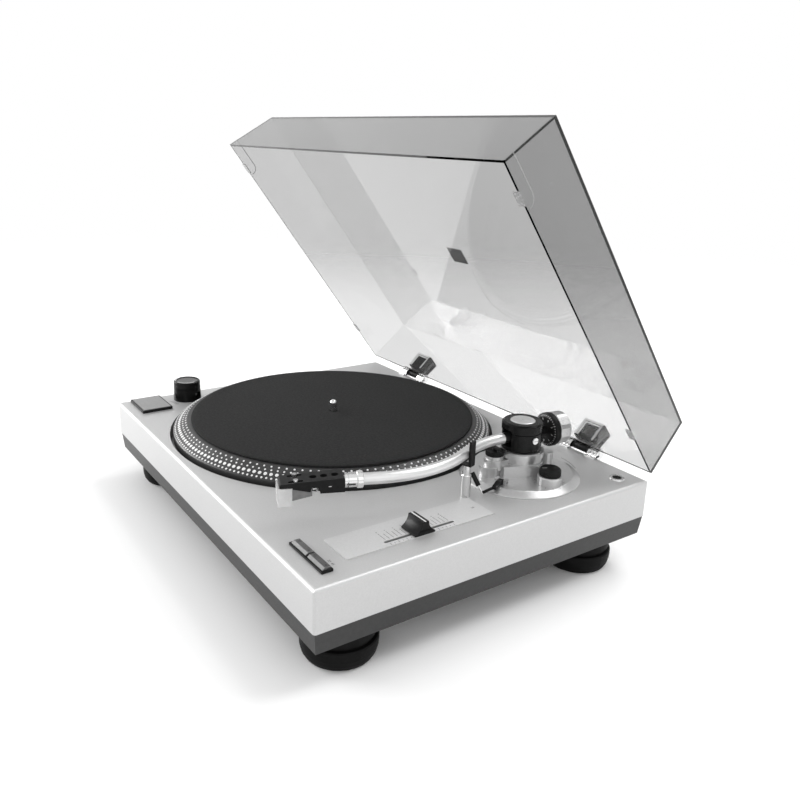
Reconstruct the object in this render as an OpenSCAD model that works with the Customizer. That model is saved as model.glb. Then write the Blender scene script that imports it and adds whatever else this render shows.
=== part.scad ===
// Belt-driven DJ turntable with an S-shaped arm and a hinged smoked dust cover.
// Millimetres. +Z is up, +X is right seen from the front, +Y is towards the back.
// Heights in the piece modules are measured from the top of the deck unless a comment says otherwise.

/* [Casing] */
// Width of the casing, left to right
case_width = 450; // [430:1:480]
// Depth of the casing, front to back
case_depth = 348; // [344:1:380]
// Height of the silver top casing
case_height = 35; // [32:0.5:45]
// Wall thickness of the casing
case_wall = 2.5; // [2:0.1:4]
// Thickness of the deck
deck_thick = 3; // [2.5:0.1:5]
// Radius of the rounded top edges
edge_radius = 3; // [1:0.25:5]
// Radius of the upright corners
corner_radius = 2.5; // [1:0.25:6]
// Height of the base tray
tray_height = 18.2; // [14:0.1:26]
// Wall and floor thickness of the base tray
tray_wall = 2.5; // [2:0.1:4]
// How far the tray's top edge stands in from the casing
tray_inset_top = 1; // [0.5:0.25:2]
// How far the tray's bottom edge stands in from the casing
tray_inset_bottom = 3; // [2:0.25:8]
// Height of the feet
foot_height = 32.5; // [20:0.5:40]
// Radius of a foot at its widest ring
foot_radius = 31; // [22:0.5:34]
// Distance from a side wall to the middle of a foot
foot_from_side = 38.7; // [36:0.1:60]
// Distance from the front or back to the middle of a foot
foot_from_end = 43.8; // [36:0.1:60]

/* [Platter] */
// Platter axis, from the middle of the casing to the right
platter_x = -47.5; // [-50:0.5:-45]
// Platter axis, from the middle of the casing to the back
platter_y = 1.5; // [0:0.5:1.5]
// Outer radius of the platter
platter_radius = 165; // [160:0.5:165]
// Gap between the platter and the wall of its well
well_gap = 3.5; // [2:0.25:3.5]
// Depth of the well under the deck
well_depth = 15; // [14:0.25:18]
// Thickness of the well's wall and floor
well_wall = 2.5; // [2:0.1:3.5]
// Height of the platter's top over the deck
platter_top = 12.6; // [10:0.2:15]
// Inner radius of the slanted dotted rim
rim_inner = 150.5; // [148:0.5:153]
// Thickness of the platter's web
platter_web = 4; // [3:0.25:6]
// Radius of the slipmat
mat_radius = 147; // [140:0.5:147]
// Thickness of the slipmat
mat_thick = 2; // [1:0.25:3]
// Radius of the spindle where the record goes on
spindle_radius = 3.6; // [3.5:0.05:3.65]
// Height of the spindle over the slipmat
spindle_height = 12; // [9:0.5:16]
// Radius of the bearing shaft
shaft_radius = 5; // [4:0.25:6]
// Radial running clearance of all shafts
running_gap = 0.05; // [0.02:0.01:0.09]
// Outer radius of the drive ring under the platter
drive_radius = 78; // [70:0.5:85]
// Radius of the motor pulley
pulley_radius = 8; // [6:0.25:10]
// Distance between the platter axis and the motor axis
motor_distance = 112; // [106:1:120]
// Direction of the motor from the platter axis, degrees
motor_angle = 135; // [120:1:150]
// Gap between the belt and what it runs on
belt_gap = 0.3; // [0.25:0.05:0.6]
// Thickness of the belt
belt_thick = 1.2; // [0.8:0.1:2]
// Width of the belt
belt_width = 5; // [4:0.5:6]

/* [Controls] */
// Middle of the start button, from the casing's left side
start_x = 28.3; // [27:0.1:29]
// Middle of the start button, from the casing's front
start_y = 28.5; // [27:0.1:30]
// Length of the start button's bezel
start_length = 45; // [40:0.5:46]
// Width of the start button's bezel
start_width = 33; // [28:0.5:34]
// Travel of the start button
start_travel = 1.5; // [1:0.1:2]
// Middle of the strobe tower, from the casing's left side
tower_x = 24; // [22:0.5:25]
// Middle of the strobe tower, from the casing's front
tower_y = 72; // [70:0.5:73]
// Radius of the strobe tower at the deck
tower_radius = 15.5; // [13:0.25:15.5]
// Height of the strobe tower
tower_height = 13.4; // [11:0.2:16]
// Height of the turning cap on the tower
power_cap_height = 8.4; // [6:0.2:11]
// Middle of the speed buttons, from the casing's right side
speed_x = 40.5; // [38:0.5:43]
// Middle of the speed buttons, from the casing's front
speed_y = 19.8; // [17:0.2:22]
// Length of the speed button bezel
speed_length = 50; // [46:0.5:56]
// Width of the speed button bezel
speed_width = 9.6; // [9:0.1:12]
// Travel of a speed button
speed_travel = 1.2; // [0.8:0.1:1.6]
// Middle of the pitch panel, from the casing's right side
pitch_x = 40; // [38:0.5:42]
// Middle of the pitch panel, from the casing's front
pitch_y = 110.7; // [108:0.1:114]
// Width of the pitch panel
pitch_width = 34; // [32:0.5:38]
// Length of the pitch panel
pitch_length = 141.5; // [130:0.5:146]
// Thickness of the pitch panel
pitch_thick = 0.8; // [0.5:0.1:1.5]
// Distance of the pitch slot from the middle of the panel
slot_offset = 10.5; // [8:0.5:11]
// Length of the pitch slot
slot_length = 67; // [66:1:90]
// Width of the pitch slot
slot_width = 3; // [2.6:0.1:4]
// Travel of the fader each way
pitch_travel = 30; // [20:1:30]
// How far the fader's cap stands inwards of its slot
fader_shift = 2.5; // [0:0.5:4]

/* [Arm] */
// Arm pivot, to the right of the middle
pivot_x = 152; // [150:0.5:154]
// Arm pivot, towards the back
pivot_y = 82; // [80:0.5:84]
// Height of the arm tube's middle over the deck
arm_z = 38.5; // [37.5:0.25:39.5]
// Radius of the arm tube
tube_radius = 4.8; // [4:0.1:5.2]
// Heading of the arm tube at the pivot, degrees inwards
stub_angle = 4; // [2:0.5:6]
// Straight length of tube in front of the pivot
tube_straight = 22.3; // [20:0.1:25]
// Radius of the outward bend
bend_one_radius = 101.6; // [98:0.2:105]
// Angle of the outward bend
bend_one_angle = 31; // [29:0.5:33]
// Radius of the inward bend
bend_two_radius = 105; // [101:0.2:109]
// Angle of the inward bend
bend_two_angle = 49; // [47:0.5:51]
// Straight length of tube in front of the bends, up to the collar
tube_end = 14.5; // [12:0.5:17]
// Length of the locking collar
collar_length = 15; // [12:0.5:18]
// Radius of the locking collar
collar_radius = 6.2; // [5.8:0.1:7]
// Length of the headshell
shell_length = 50; // [46:0.5:54]
// Width of the headshell
shell_width = 18; // [16:0.5:21]
// Radius of the pivot housing
pivot_radius = 18; // [16:0.25:19]
// Lowest point of the pivot housing
pivot_low = 26.6; // [26:0.1:27]
// Highest point of the pivot housing
pivot_high = 52.5; // [50:0.25:53]
// Radius of the rear stub
stub_radius = 4; // [3:0.1:4.4]
// Length of the rear stub behind the pivot
stub_length = 48; // [46:0.5:60]
// Radius of the numbered dial
dial_radius = 15.6; // [14:0.1:15.8]
// Thickness of the numbered dial
dial_thick = 7; // [5:0.25:8]
// Distance from the pivot to the dial's front
dial_start = 27; // [26:0.25:29]
// Radius of the counterweight
weight_radius = 15.2; // [13:0.1:15.4]
// Length of the counterweight
weight_length = 12.5; // [11:0.5:20]
// Radius of the round arm base plate
plate_radius = 55; // [52:0.5:57]
// Height of the arm base plate
plate_height = 5; // [4:0.25:6]
// Radius of the arm mount's column
column_radius = 19.4; // [18:0.1:19.6]
// Distance from the pivot to the lifter
lifter_distance = 26.5; // [25:0.25:27]
// Gap under the tube at the lifter
lifter_drop = 3; // [2.6:0.1:3.5]
// Rise of the lifter
lifter_rise = 2.6; // [2:0.1:2.7]
// Anti-skating post, right of the arm pivot
skate_x = 37.4; // [37:0.1:38]
// Anti-skating post, behind the arm pivot
skate_y = 0.7; // [-1:0.1:2]
// Radius of the anti-skating post
skate_radius = 10.8; // [10:0.1:11]
// Arm rest post, to the right of the arm pivot
rest_x = 11; // [10:0.25:12]
// Arm rest post, in front of the arm pivot
rest_y = 73; // [71:0.5:75]
// Slack under the tube in the arm rest
rest_slack = 3.5; // [3.3:0.1:4]
// Spare headshell socket, from the casing's right side
spare_x = 19; // [18:0.5:21]
// Spare headshell socket, from the casing's back
spare_y = 21; // [20:0.5:24]
// Bore radius of the spare headshell socket
spare_radius = 4; // [4:0.05:4.2]
// Depth of the spare headshell socket
spare_depth = 12; // [10:0.5:16]

/* [Dust cover] */
// Width of the cover at its rim
cover_width = 454; // [446:0.5:460]
// Depth of the cover at its rim
cover_depth = 340.9; // [336:0.5:344]
// Height of the cover
cover_height = 58.5; // [58:0.25:70]
// Wall thickness of the cover
cover_wall = 2.2; // [2:0.1:3]
// How far the walls lean in over the cover's height
cover_lean = 5.4; // [3:0.2:7]
// Gap between the deck and the closed cover's rim
cover_lift = 1.5; // [1.2:0.1:2]
// Distance of the hinge axis behind the casing
hinge_back = 5.1; // [5:0.1:6]
// Height of the hinge axis over the deck
hinge_up = 2.5; // [2.25:0.25:3]
// Distance of the cover's back rim from the hinge axis when closed
hinge_to_rim = 7.6; // [7.4:0.1:8.5]
// Angle at which the open cover stops
open_angle = 53.3; // [45:0.1:60]
// Distance of each hinge from the casing's side
hinge_x = 83.5; // [65:0.5:115]
// Width of a hinge leaf
leaf_width = 21.6; // [18:0.2:21.8]
// Width of a hinge lug
lug_width = 11.6; // [8:0.2:12]
// Gap between a hinge leaf and the lugs beside it
lug_gap = 0.4; // [0.3:0.05:0.6]
// Thickness of a hinge leaf
leaf_thick = 2.6; // [2:0.1:3]
// Wall of a hinge pocket on the cover's back
pocket_wall = 1.4; // [1:0.1:2.5]
// Height of a hinge pocket
pocket_height = 20.5; // [16:0.5:26]
// Depth of a hinge pocket behind the hinge axis
pocket_back = 6; // [3.5:0.5:8]
// Radius of a hinge pin
pin_radius = 2; // [1.5:0.1:2.2]

/* [Sockets] */
// Clear distance from the right hinge's bracket to the socket plate
plate_x = 2; // [2:0.5:3]
// Length of the socket plate
socket_length = 108; // [105:1:110]
// Outer radius of a phono socket
phono_radius = 4.15; // [4.1:0.05:4.2]
// Length of a phono socket's barrel
phono_length = 8; // [7:0.5:10]
// Middle of the mains inlet, from the casing's left side
inlet_x = 33; // [31:1:40]

/* [Inside] */
// Width of the main board
board_width = 84; // [78:1:88]
// Depth of the main board
board_depth = 60; // [54:1:62]
// Middle of the main board, from the casing's right side
board_side = 120; // [115:1:125]
// Middle of the main board, from the casing's front
board_front = 49; // [46:1:52]
// Width of the phono board
phono_board_width = 98; // [94:1:104]
// Depth of the phono board
phono_board_depth = 38; // [34:1:40]
// Middle of the phono board, from the casing's back
phono_board_back = 34; // [33:0.5:36]
// Width of the power supply
supply_width = 60; // [54:1:62]
// Depth of the power supply
supply_depth = 44; // [40:1:46]
// Middle of the power supply, from the casing's left side
supply_side = 45; // [43:1:46]
// Middle of the power supply, from the casing's back
supply_back = 90; // [88:1:94]
// Radius of the motor
motor_radius = 19; // [16:0.5:20]
// Height of the motor
motor_height = 22; // [18:0.5:22]
// Radius of the bearing housing
bearing_radius = 10; // [9:0.25:10.5]
// How far the bearing housing reaches under the deck
bearing_depth = 46; // [44:0.5:48]

/* [Hidden] */
$fn = 96;
deck_z = foot_height + tray_height + case_height;
hinge_y = case_depth / 2 + hinge_back;
// Where the open cover's top back edge lies, used to put the origin under the middle of the whole
cover_back = hinge_y - hinge_to_rim * cos(open_angle) + (cover_lift - hinge_up) * sin(open_angle)
  + cover_height * sin(open_angle) - cover_lean * cos(open_angle);
shift_y = (cover_back - case_depth / 2) / 2;
well_radius = platter_radius + well_gap;
tray_floor = tray_height + case_height - tray_wall;
motor_x = motor_distance * cos(motor_angle);
motor_y = motor_distance * sin(motor_angle);
belt_top = -0.5;
rotor_radius = 1.5;
// Low end of the platter's shaft, which stands on the bearing's floor
shaft_low = 3.5 - bearing_depth;
mat_top = platter_top + mat_thick;
// Places on the deck, from the middle of the casing
start_spot = [start_x - case_width / 2, start_y - case_depth / 2, 0];
tower_spot = [tower_x - case_width / 2, tower_y - case_depth / 2, 0];
speed_spot = [case_width / 2 - speed_x, speed_y - case_depth / 2, 0];
pitch_spot = [case_width / 2 - pitch_x, pitch_y - case_depth / 2, 0];
slot_spot = pitch_spot + [slot_offset, 0, 0];
rest_spot = [pivot_x + rest_x, pivot_y - rest_y, 0];
spare_spot = [case_width / 2 - spare_x, case_depth / 2 - spare_y, 0];
hinge_spot = case_width / 2 - hinge_x;
// Half the width of a hinge's lugs, and of the bracket that carries them
lugs_half = leaf_width / 2 + lug_gap + lug_width;
bracket_half = lugs_half + 0.2;
// Half the length of a hinge pin, which ends inside the lugs
pin_half = leaf_width / 2 + lug_gap + 0.8;
plate_spot = [hinge_spot - bracket_half - plate_x - socket_length / 2, case_depth / 2, 0];
inlet_spot = [inlet_x - case_width / 2, case_depth / 2, 0];
// Heading from the strobe tower to the platter's axis
lamp_heading = atan2(platter_y - tower_spot.y, platter_x - tower_spot.x);
// Places inside, from the middle of the casing
board_spot = [case_width / 2 - board_side, board_front - case_depth / 2, 0];
supply_spot = [supply_side - case_width / 2, case_depth / 2 - supply_back, 0];
phono_spot = plate_spot - [0, phono_board_back, 0];
board_thick = 1.6;
// How far the main board lies over the tray's underside
board_lift = 8.5;
// How far the studs stand in from the edges of each board
board_stud = [7, 8];
phono_stud = [9, 7];
// Length of the fader's tongue in the pitch slot
tongue_length = 5;
bottom_rim = -6;
// Base screws: four near the corners, one more at the front and back, two at the right side
side_spot = case_width / 2 - 10.5;
end_spot = case_depth / 2 - 10;
front_screw = 139.5;
back_screw = 89.5;
side_screw = 58;
screw_spots = [[-side_spot, -end_spot], [side_spot, -end_spot], [-side_spot, end_spot],
  [side_spot, end_spot], [side_spot - front_screw, -end_spot], [side_spot - back_screw, end_spot],
  [side_spot, -side_screw], [side_spot, side_screw]];
// Places along the socket plate
phono_spots = [-42, -24];
switch_spot = -6;
usb_spot = 14;
earth_spot = 38;
// How far the phono board lies under the deck
phono_drop = 32;
// Underside of the arm rest's clip
clip_z = arm_z - tube_radius - rest_slack - 1.4;
// Height of the clip's arm beside the tube
clip_arm = 22.3;
// Top and underside of the lifter's guide, and top of the bar under the tube
block_top = 27.6;
block_low = block_top - 4.4;
bar_top = arm_z - tube_radius - lifter_drop;
// Top of the arm mount's lower block
block_top_z = 15;
lever_radial = 40;
lever_angle = -66;
lever_z = plate_height + 1.8;
shell_start = tube_end + collar_length;
shell_screw = 37.5;
cartridge_width = 14.4;
guard_back = 40.4;
guard_length = 11.2;
guard_drop = 15.5;
knuckle_radius = 4.4;
// Slack of a leaf in its pocket, and the pocket's width and lower edge over the cover's rim
pocket_gap = 0.3;
pocket_width = leaf_width + 2 * (pocket_gap + pocket_wall);
pocket_low = hinge_up - cover_lift + knuckle_radius + 1.1;
bumper_height = cover_lift - 0.4;
silver = [0.78, 0.78, 0.79];
dark = [0.3, 0.3, 0.31];
black = [0.06, 0.06, 0.065];
steel = [0.82, 0.82, 0.83];
chrome = [0.9, 0.9, 0.9];

// Placing helpers

// Origin at the deck's top in the middle of the casing, moved so that the whole box is centred
module at_deck() {
  translate([0, -shift_y, deck_z]) children();
}

// Origin on the floor
module at_floor() {
  translate([0, -shift_y, 0]) children();
}

module at_platter() {
  at_deck() translate([platter_x, platter_y, 0]) children();
}

// Arm frame: x runs forwards along the arm at rest, y outwards, z up, origin on the pivot axis at the deck
module at_pivot() {
  at_deck() translate([pivot_x, pivot_y, 0]) rotate([0, 0, -90]) children();
}

// The straight part of the tube, which also carries the counterweight
module at_stub() {
  at_pivot() translate([0, 0, arm_z]) rotate([0, 0, -stub_angle]) children();
}

// The end of the second bend, heading along the headshell
module at_shell() {
  at_stub() translate([tube_straight, 0, 0])
    translate([bend_one_radius * sin(bend_one_angle), bend_one_radius * (1 - cos(bend_one_angle)), 0])
      rotate([0, 0, bend_one_angle])
        translate([bend_two_radius * sin(bend_two_angle), bend_two_radius * (cos(bend_two_angle) - 1), 0])
          rotate([0, 0, -bend_two_angle]) children();
}

// Cover frame: origin on the hinge axis, closed directions, then opened
module at_cover() {
  at_deck() translate([0, hinge_y, hinge_up]) rotate([-open_angle, 0, 0]) children();
}

// Lever frame: x outwards from the arm pivot, y sideways, origin on the lever's axis
module at_lever() {
  at_deck() translate([pivot_x, pivot_y, 0]) rotate([0, 0, lever_angle])
    translate([lever_radial, 0, lever_z]) children();
}

// Shape helpers

module rounded_rect(w, d, r) {
  square([w, d - 2 * r], center = true);
  square([w - 2 * r, d], center = true);
  for (sx = [-1, 1])
    for (sy = [-1, 1])
      translate([sx * (w / 2 - r), sy * (d / 2 - r)]) circle(r);
}

module rounded_plate(w, d, h, r) {
  linear_extrude(h) rounded_rect(w, d, r);
}

module rounded_top(w, h, r) {
  translate([-w / 2, 0]) square([w, h - r]);
  translate([-w / 2 + r, 0]) square([w - 2 * r, h]);
  for (s = [-1, 1])
    translate([s * (w / 2 - r), h - r]) circle(r);
}

module block(w, d, h) {
  translate([-w / 2, -d / 2, 0]) cube([w, d, h]);
}

module tube(ro, ri, h) {
  difference() {
    cylinder(r = ro, h = h);
    translate([0, 0, -1]) cylinder(r = ri, h = h + 2);
  }
}

// Box whose walls lean by the given amounts between bottom and top
module leaning_box(w0, d0, w1, d1, h) {
  intersection() {
    translate([0, max(d0, d1), 0]) rotate([90, 0, 0]) linear_extrude(2 * max(d0, d1))
      polygon([[-w0 / 2, 0], [w0 / 2, 0], [w1 / 2, h], [-w1 / 2, h]]);
    translate([-max(w0, w1), 0, 0]) rotate([90, 0, 90]) linear_extrude(2 * max(w0, w1))
      polygon([[-d0 / 2, 0], [d0 / 2, 0], [d1 / 2, h], [-d1 / 2, h]]);
  }
}

module along_x() {
  rotate([0, 90, 0]) children();
}

// Flat bar between two points of a profile
module flat_bar(a, b, r) {
  v = b - a;
  translate(a) rotate(atan2(v.y, v.x)) translate([0, -r]) square([norm(v), 2 * r]);
}

// Rod between two points
module rod(a, b, r) {
  v = b - a;
  translate(a) rotate([0, acos(v[2] / norm(v)), atan2(v[1], v[0])])
    cylinder(r = r, h = norm(v), $fn = 32);
}

module feet_spots() {
  for (sx = [-1, 1])
    for (sy = [-1, 1])
      translate([sx * (case_width / 2 - foot_from_side), sy * (case_depth / 2 - foot_from_end), 0])
        children();
}

// Casing

module case_solid() {
  intersection() {
    linear_extrude(case_height) rounded_rect(case_width, case_depth, corner_radius);
    translate([0, case_depth, 0]) rotate([90, 0, 0]) linear_extrude(2 * case_depth)
      rounded_top(case_width, case_height, edge_radius);
    translate([-case_width, 0, 0]) rotate([90, 0, 90]) linear_extrude(2 * case_width)
      rounded_top(case_depth, case_height, edge_radius);
  }
}

module top_case() color(silver) at_deck() difference() {
  union() {
    translate([0, 0, -case_height]) difference() {
      case_solid();
      translate([0, 0, -1])
        block(case_width - 2 * case_wall, case_depth - 2 * case_wall, case_height - deck_thick + 1);
    }
    translate([platter_x, platter_y, -well_depth - well_wall])
      cylinder(r = well_radius + well_wall, h = well_depth + well_wall - 1, $fn = 180);
    for (p = screw_spots)
      translate([p[0], p[1], -tray_floor]) cylinder(r = 4, h = tray_floor - 1);
  }
  translate([platter_x, platter_y, -well_depth]) cylinder(r = well_radius, h = well_depth + 1, $fn = 180);
  translate([platter_x, platter_y, -well_depth - well_wall - 1]) cylinder(r = 11, h = 10);
  translate([platter_x + motor_x, platter_y + motor_y, -well_depth - well_wall - 1])
    cylinder(r = 6, h = 10);
  translate(start_spot - [0, 0, 5]) block(start_length - 9, start_width - 9, 10);
  translate(speed_spot - [0, 0, 5]) block(speed_length - 6, speed_width - 4, 10);
  translate(slot_spot - [0, 0, 5]) block(slot_width + 2, slot_length + 4, 10);
  translate(tower_spot - [0, 0, 5]) cylinder(r = 7, h = 10);
  translate([pivot_x, pivot_y, -5]) cylinder(r = plate_radius - 15, h = 10);
  translate(spare_spot - [0, 0, 5]) cylinder(r = spare_radius + 1.6, h = 10);
  translate(rest_spot - [0, 0, 5]) cylinder(r = 2.1, h = 10);
  translate(plate_spot - [0, 5, 19]) block(socket_length - 8, 20, 15);
  translate(inlet_spot - [0, 5, 21]) block(25, 20, 15);
  for (p = screw_spots)
    translate([p[0], p[1], -tray_floor - 1]) cylinder(r = 1.6, h = 19);
}

module base_tray() color(dark) at_floor() translate([0, 0, foot_height]) difference() {
  union() {
    difference() {
      leaning_box(case_width - 2 * tray_inset_bottom, case_depth - 2 * tray_inset_bottom,
        case_width - 2 * tray_inset_top, case_depth - 2 * tray_inset_top, tray_height);
      translate([0, 0, tray_wall])
        leaning_box(case_width - 2 * tray_inset_bottom - 2 * tray_wall,
          case_depth - 2 * tray_inset_bottom - 2 * tray_wall,
          case_width - 2 * tray_inset_top - 2 * tray_wall,
          case_depth - 2 * tray_inset_top - 2 * tray_wall, tray_height);
    }
    for (sx = [-1, 1])
      for (sy = [-1, 1]) {
        translate(board_spot + [sx * (board_width / 2 - board_stud.x),
          sy * (board_depth / 2 - board_stud.y), 1])
          cylinder(r = 3.5, h = board_lift - 1);
        translate(phono_spot + [sx * (phono_board_width / 2 - phono_stud.x),
          sy * (phono_board_depth / 2 - phono_stud.y), 1])
          cylinder(r = 3.5, h = tray_height + case_height - phono_drop - 1);
      }
  }
  feet_spots() translate([0, 0, -1]) cylinder(r = 2.7, h = 10);
  for (p = screw_spots) {
    translate([p[0], p[1], -1]) cylinder(r = 1.7, h = 10);
    translate([p[0], p[1], -1]) cylinder(r = 3.6, h = 2);
  }
  for (i = [-5:5])
    translate([platter_x + i * 9, -60, -1]) rounded_plate(3, 34, 10, 1.45);
}

module feet() color(black) at_floor() feet_spots() difference() {
  rotate_extrude($fn = 120) polygon([[0, 0], [foot_radius - 6, 0], [foot_radius - 3.4, 1],
    [foot_radius - 1.4, 4.5], [foot_radius - 0.3, 9], [foot_radius, 13], [foot_radius, 16.5],
    [foot_radius - 0.8, 17.6], [foot_radius - 3.2, 18], [foot_radius - 3.2, 20],
    [foot_radius - 2, 20.6], [foot_radius - 2, foot_height], [0, foot_height]]);
  translate([0, 0, foot_height - 18]) cylinder(r = 2.6, h = 20);
}

module foot_screws() color(steel) at_floor() feet_spots() {
  translate([0, 0, foot_height - 15]) cylinder(r = 2.5, h = 15 + tray_wall + 0.5);
  translate([0, 0, foot_height + tray_wall]) difference() {
    cylinder(r = 6, h = 3);
    translate([-4, -0.6, 2]) cube([8, 1.2, 2]);
    translate([-0.6, -4, 2]) cube([1.2, 8, 2]);
  }
}

module base_screws() color(steel) at_floor() for (p = screw_spots)
  translate([p[0], p[1], foot_height - 0.7]) {
    difference() {
      translate([0, 0, -0.3]) cylinder(r = 3.4, h = 2);
      translate([-2.4, -0.5, -1]) cube([4.8, 1, 1.7]);
      translate([-0.5, -2.4, -1]) cube([1, 4.8, 1.7]);
    }
    translate([0, 0, 1]) cylinder(r = 1.5, h = 13);
  }

// Controls

module start_bezel() color(black) at_deck() translate(start_spot) difference() {
  rounded_plate(start_length, start_width, 3, 0.8);
  translate([0, 0, -1]) block(start_length - 2.4, start_width - 2.4, 6);
}

module start_button() color([0.55, 0.55, 0.56]) at_deck() translate(start_spot) {
  translate([0, 0, start_travel + 0.4]) rounded_plate(start_length - 3.2, start_width - 3.2, 1.5, 0.6);
  translate([0, 0, -7]) cylinder(r = 4, h = start_travel + 7.6);
}

module start_switch() color([0.12, 0.35, 0.18]) at_deck() translate(start_spot - [0, 0, 16]) {
  block(start_length + 1, 22, 1.6);
  translate([0, 0, 1.6]) block(12, 12, 16 - 7 - start_travel - 0.5 - 1.6);
  for (s = [-1, 1])
    translate([s * (start_length / 2 - 2), 0, 1.5]) cylinder(r = 2.4, h = 16 - deck_thick - 1.5);
}

module speed_bezel() color(black) at_deck() translate(speed_spot) difference() {
  rounded_plate(speed_length, speed_width, 1.8, 0.6);
  for (s = [-1, 1])
    translate([s * (speed_length / 4 - 0.3), 0, -1]) block(speed_length / 2 - 1.8, speed_width - 1.8, 6);
}

module speed_key() {
  half = (speed_width - 2.6) / 2;
  long = speed_length / 2 - 2.6;
  translate([-long / 2, 0, 0]) rotate([90, 0, 90]) linear_extrude(long)
    polygon([[-half, speed_travel + 0.3], [half, speed_travel + 0.3], [half, 3.6], [2.2 - half, 3.6],
      [-half, 2]]);
  translate([0, 0, -6.6]) block(4, 3.4, 8.4);
}

module speed_button_33() color(steel) at_deck()
  translate(speed_spot - [speed_length / 4 - 0.3, 0, 0]) speed_key();

module speed_button_45() color(steel) at_deck()
  translate(speed_spot + [speed_length / 4 - 0.3, 0, 0]) speed_key();

module speed_switches() color([0.12, 0.35, 0.18]) at_deck() translate(speed_spot - [0, 0, 15]) {
  block(speed_length + 12, 9, 1.6);
  for (s = [-1, 1]) {
    translate([s * (speed_length / 4 - 0.3), 0, 1.6]) block(6, 6, 15 - 6.6 - speed_travel - 0.5 - 1.6);
    translate([s * (speed_length / 2 + 3), 0, 1.5]) cylinder(r = 2.2, h = 15 - deck_thick - 1.5);
  }
}

module pitch_panel() color([0.83, 0.83, 0.84]) at_deck() difference() {
  translate(pitch_spot) rounded_plate(pitch_width, pitch_length, pitch_thick, 1);
  translate(slot_spot - [0, 0, 1]) rounded_plate(slot_width, slot_length, 4, 1.3);
}

module pitch_fader() color(black) at_deck() translate(slot_spot) {
  difference() {
    translate([-fader_shift, 0, pitch_thick + 0.5]) block(19.4, 19, 11);
    for (s = [-1, 1])
      translate([-15, s * 14, pitch_thick + 12]) along_x() cylinder(r = 11, h = 30, $fn = 64);
  }
  translate([0, 0, -6]) block(1.4, tongue_length, 7.6);
}

module pitch_slider() color([0.5, 0.5, 0.52]) at_deck()
  translate(slot_spot - [0, 0, deck_thick]) difference() {
    union() {
      translate([0, 0, -9]) block(13, slot_length + 20, 9);
      translate([0, 0, -10.6]) block(16, slot_length + 24, 1.6);
    }
    translate([0, 0, -5]) block(slot_width - 0.4, 2 * pitch_travel + tongue_length + 0.6, 6);
  }

module strobe_tower() color(black) at_deck() translate(tower_spot) difference() {
  cylinder(r1 = tower_radius, r2 = tower_radius - 0.7, h = tower_height);
  translate([0, 0, -1]) cylinder(r = 3 + running_gap, h = 30);
  rotate([0, 0, lamp_heading])
    translate([6, -5, 3.4]) cube([20, 10, 6.4]);
}

module strobe_lamp() color([0.85, 0.2, 0.15]) at_deck() translate(tower_spot)
  rotate([0, 0, lamp_heading]) {
    translate([6, -4.4, 3.4]) cube([1.6, 8.8, 5.6]);
    translate([7.6, 0, 6.4]) along_x() cylinder(r = 2.4, h = 3, $fn = 48);
    translate([10.6, 0, 6.4]) intersection() {
      sphere(2.4, $fn = 48);
      translate([0, -3, -3]) cube([6, 6, 6]);
    }
  }

module power_cap() color(black) at_deck() translate(tower_spot) {
  translate([0, 0, tower_height + 0.4]) difference() {
    rotate_extrude() polygon([[0, 0], [tower_radius - 0.6, 0], [tower_radius - 0.6, 2],
      [tower_radius - 0.9, power_cap_height - 1], [tower_radius - 1.9, power_cap_height],
      [0, power_cap_height]]);
    translate([0, 0, power_cap_height - 0.9]) cylinder(r = tower_radius - 3.6, h = 2);
  }
  translate([0, 0, -9]) cylinder(r = 3, h = tower_height + 10);
}

// Drive

module platter() color([0.42, 0.42, 0.43]) at_platter() rotate_extrude($fn = 240) polygon([
  [shaft_radius + running_gap, -3], [14, -3], [14, platter_top - platter_web],
  [drive_radius - 4, platter_top - platter_web], [drive_radius - 4, -9], [drive_radius, -9],
  [drive_radius, platter_top - platter_web], [rim_inner - 5, platter_top - platter_web],
  [platter_radius - 7, 2], [platter_radius - 7, bottom_rim], [platter_radius - 0.6, bottom_rim],
  [platter_radius, bottom_rim + 0.6], [platter_radius, 3.4], [platter_radius - 0.8, 4.4],
  [rim_inner + 0.8, platter_top - 0.3], [rim_inner, platter_top],
  [shaft_radius + running_gap, platter_top]]);

module slipmat() color([0.05, 0.05, 0.055]) at_platter() translate([0, 0, platter_top])
  rotate_extrude($fn = 240) polygon([[spindle_radius, 0], [mat_radius, 0],
    [mat_radius, mat_thick - 0.4], [mat_radius - 0.4, mat_thick], [spindle_radius, mat_thick]]);

module spindle() color(chrome) at_platter() {
  rotate_extrude() polygon([[0, shaft_low], [shaft_radius - 0.8, shaft_low], [shaft_radius, shaft_low + 0.8],
    [shaft_radius, -6], [10, -6], [10, -3], [shaft_radius, -3], [shaft_radius, platter_top - 0.5],
    [spindle_radius - 0.3, platter_top], [spindle_radius - 0.3, mat_top], [spindle_radius, mat_top],
    [spindle_radius, mat_top + spindle_height - spindle_radius],
    [0, mat_top + spindle_height - spindle_radius]]);
  translate([0, 0, mat_top + spindle_height - spindle_radius]) intersection() {
    sphere(spindle_radius, $fn = 64);
    translate([-5, -5, 0]) cube([10, 10, 10]);
  }
}

module bearing_housing() color([0.72, 0.6, 0.35]) at_platter() difference() {
  union() {
    translate([0, 0, -well_depth]) cylinder(r = bearing_radius + 16, h = 3);
    translate([0, 0, -bearing_depth]) cylinder(r = bearing_radius, h = bearing_depth - well_depth + 7);
  }
  translate([0, 0, shaft_low - 0.3]) cylinder(r = shaft_radius + running_gap, h = bearing_depth);
}

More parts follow.
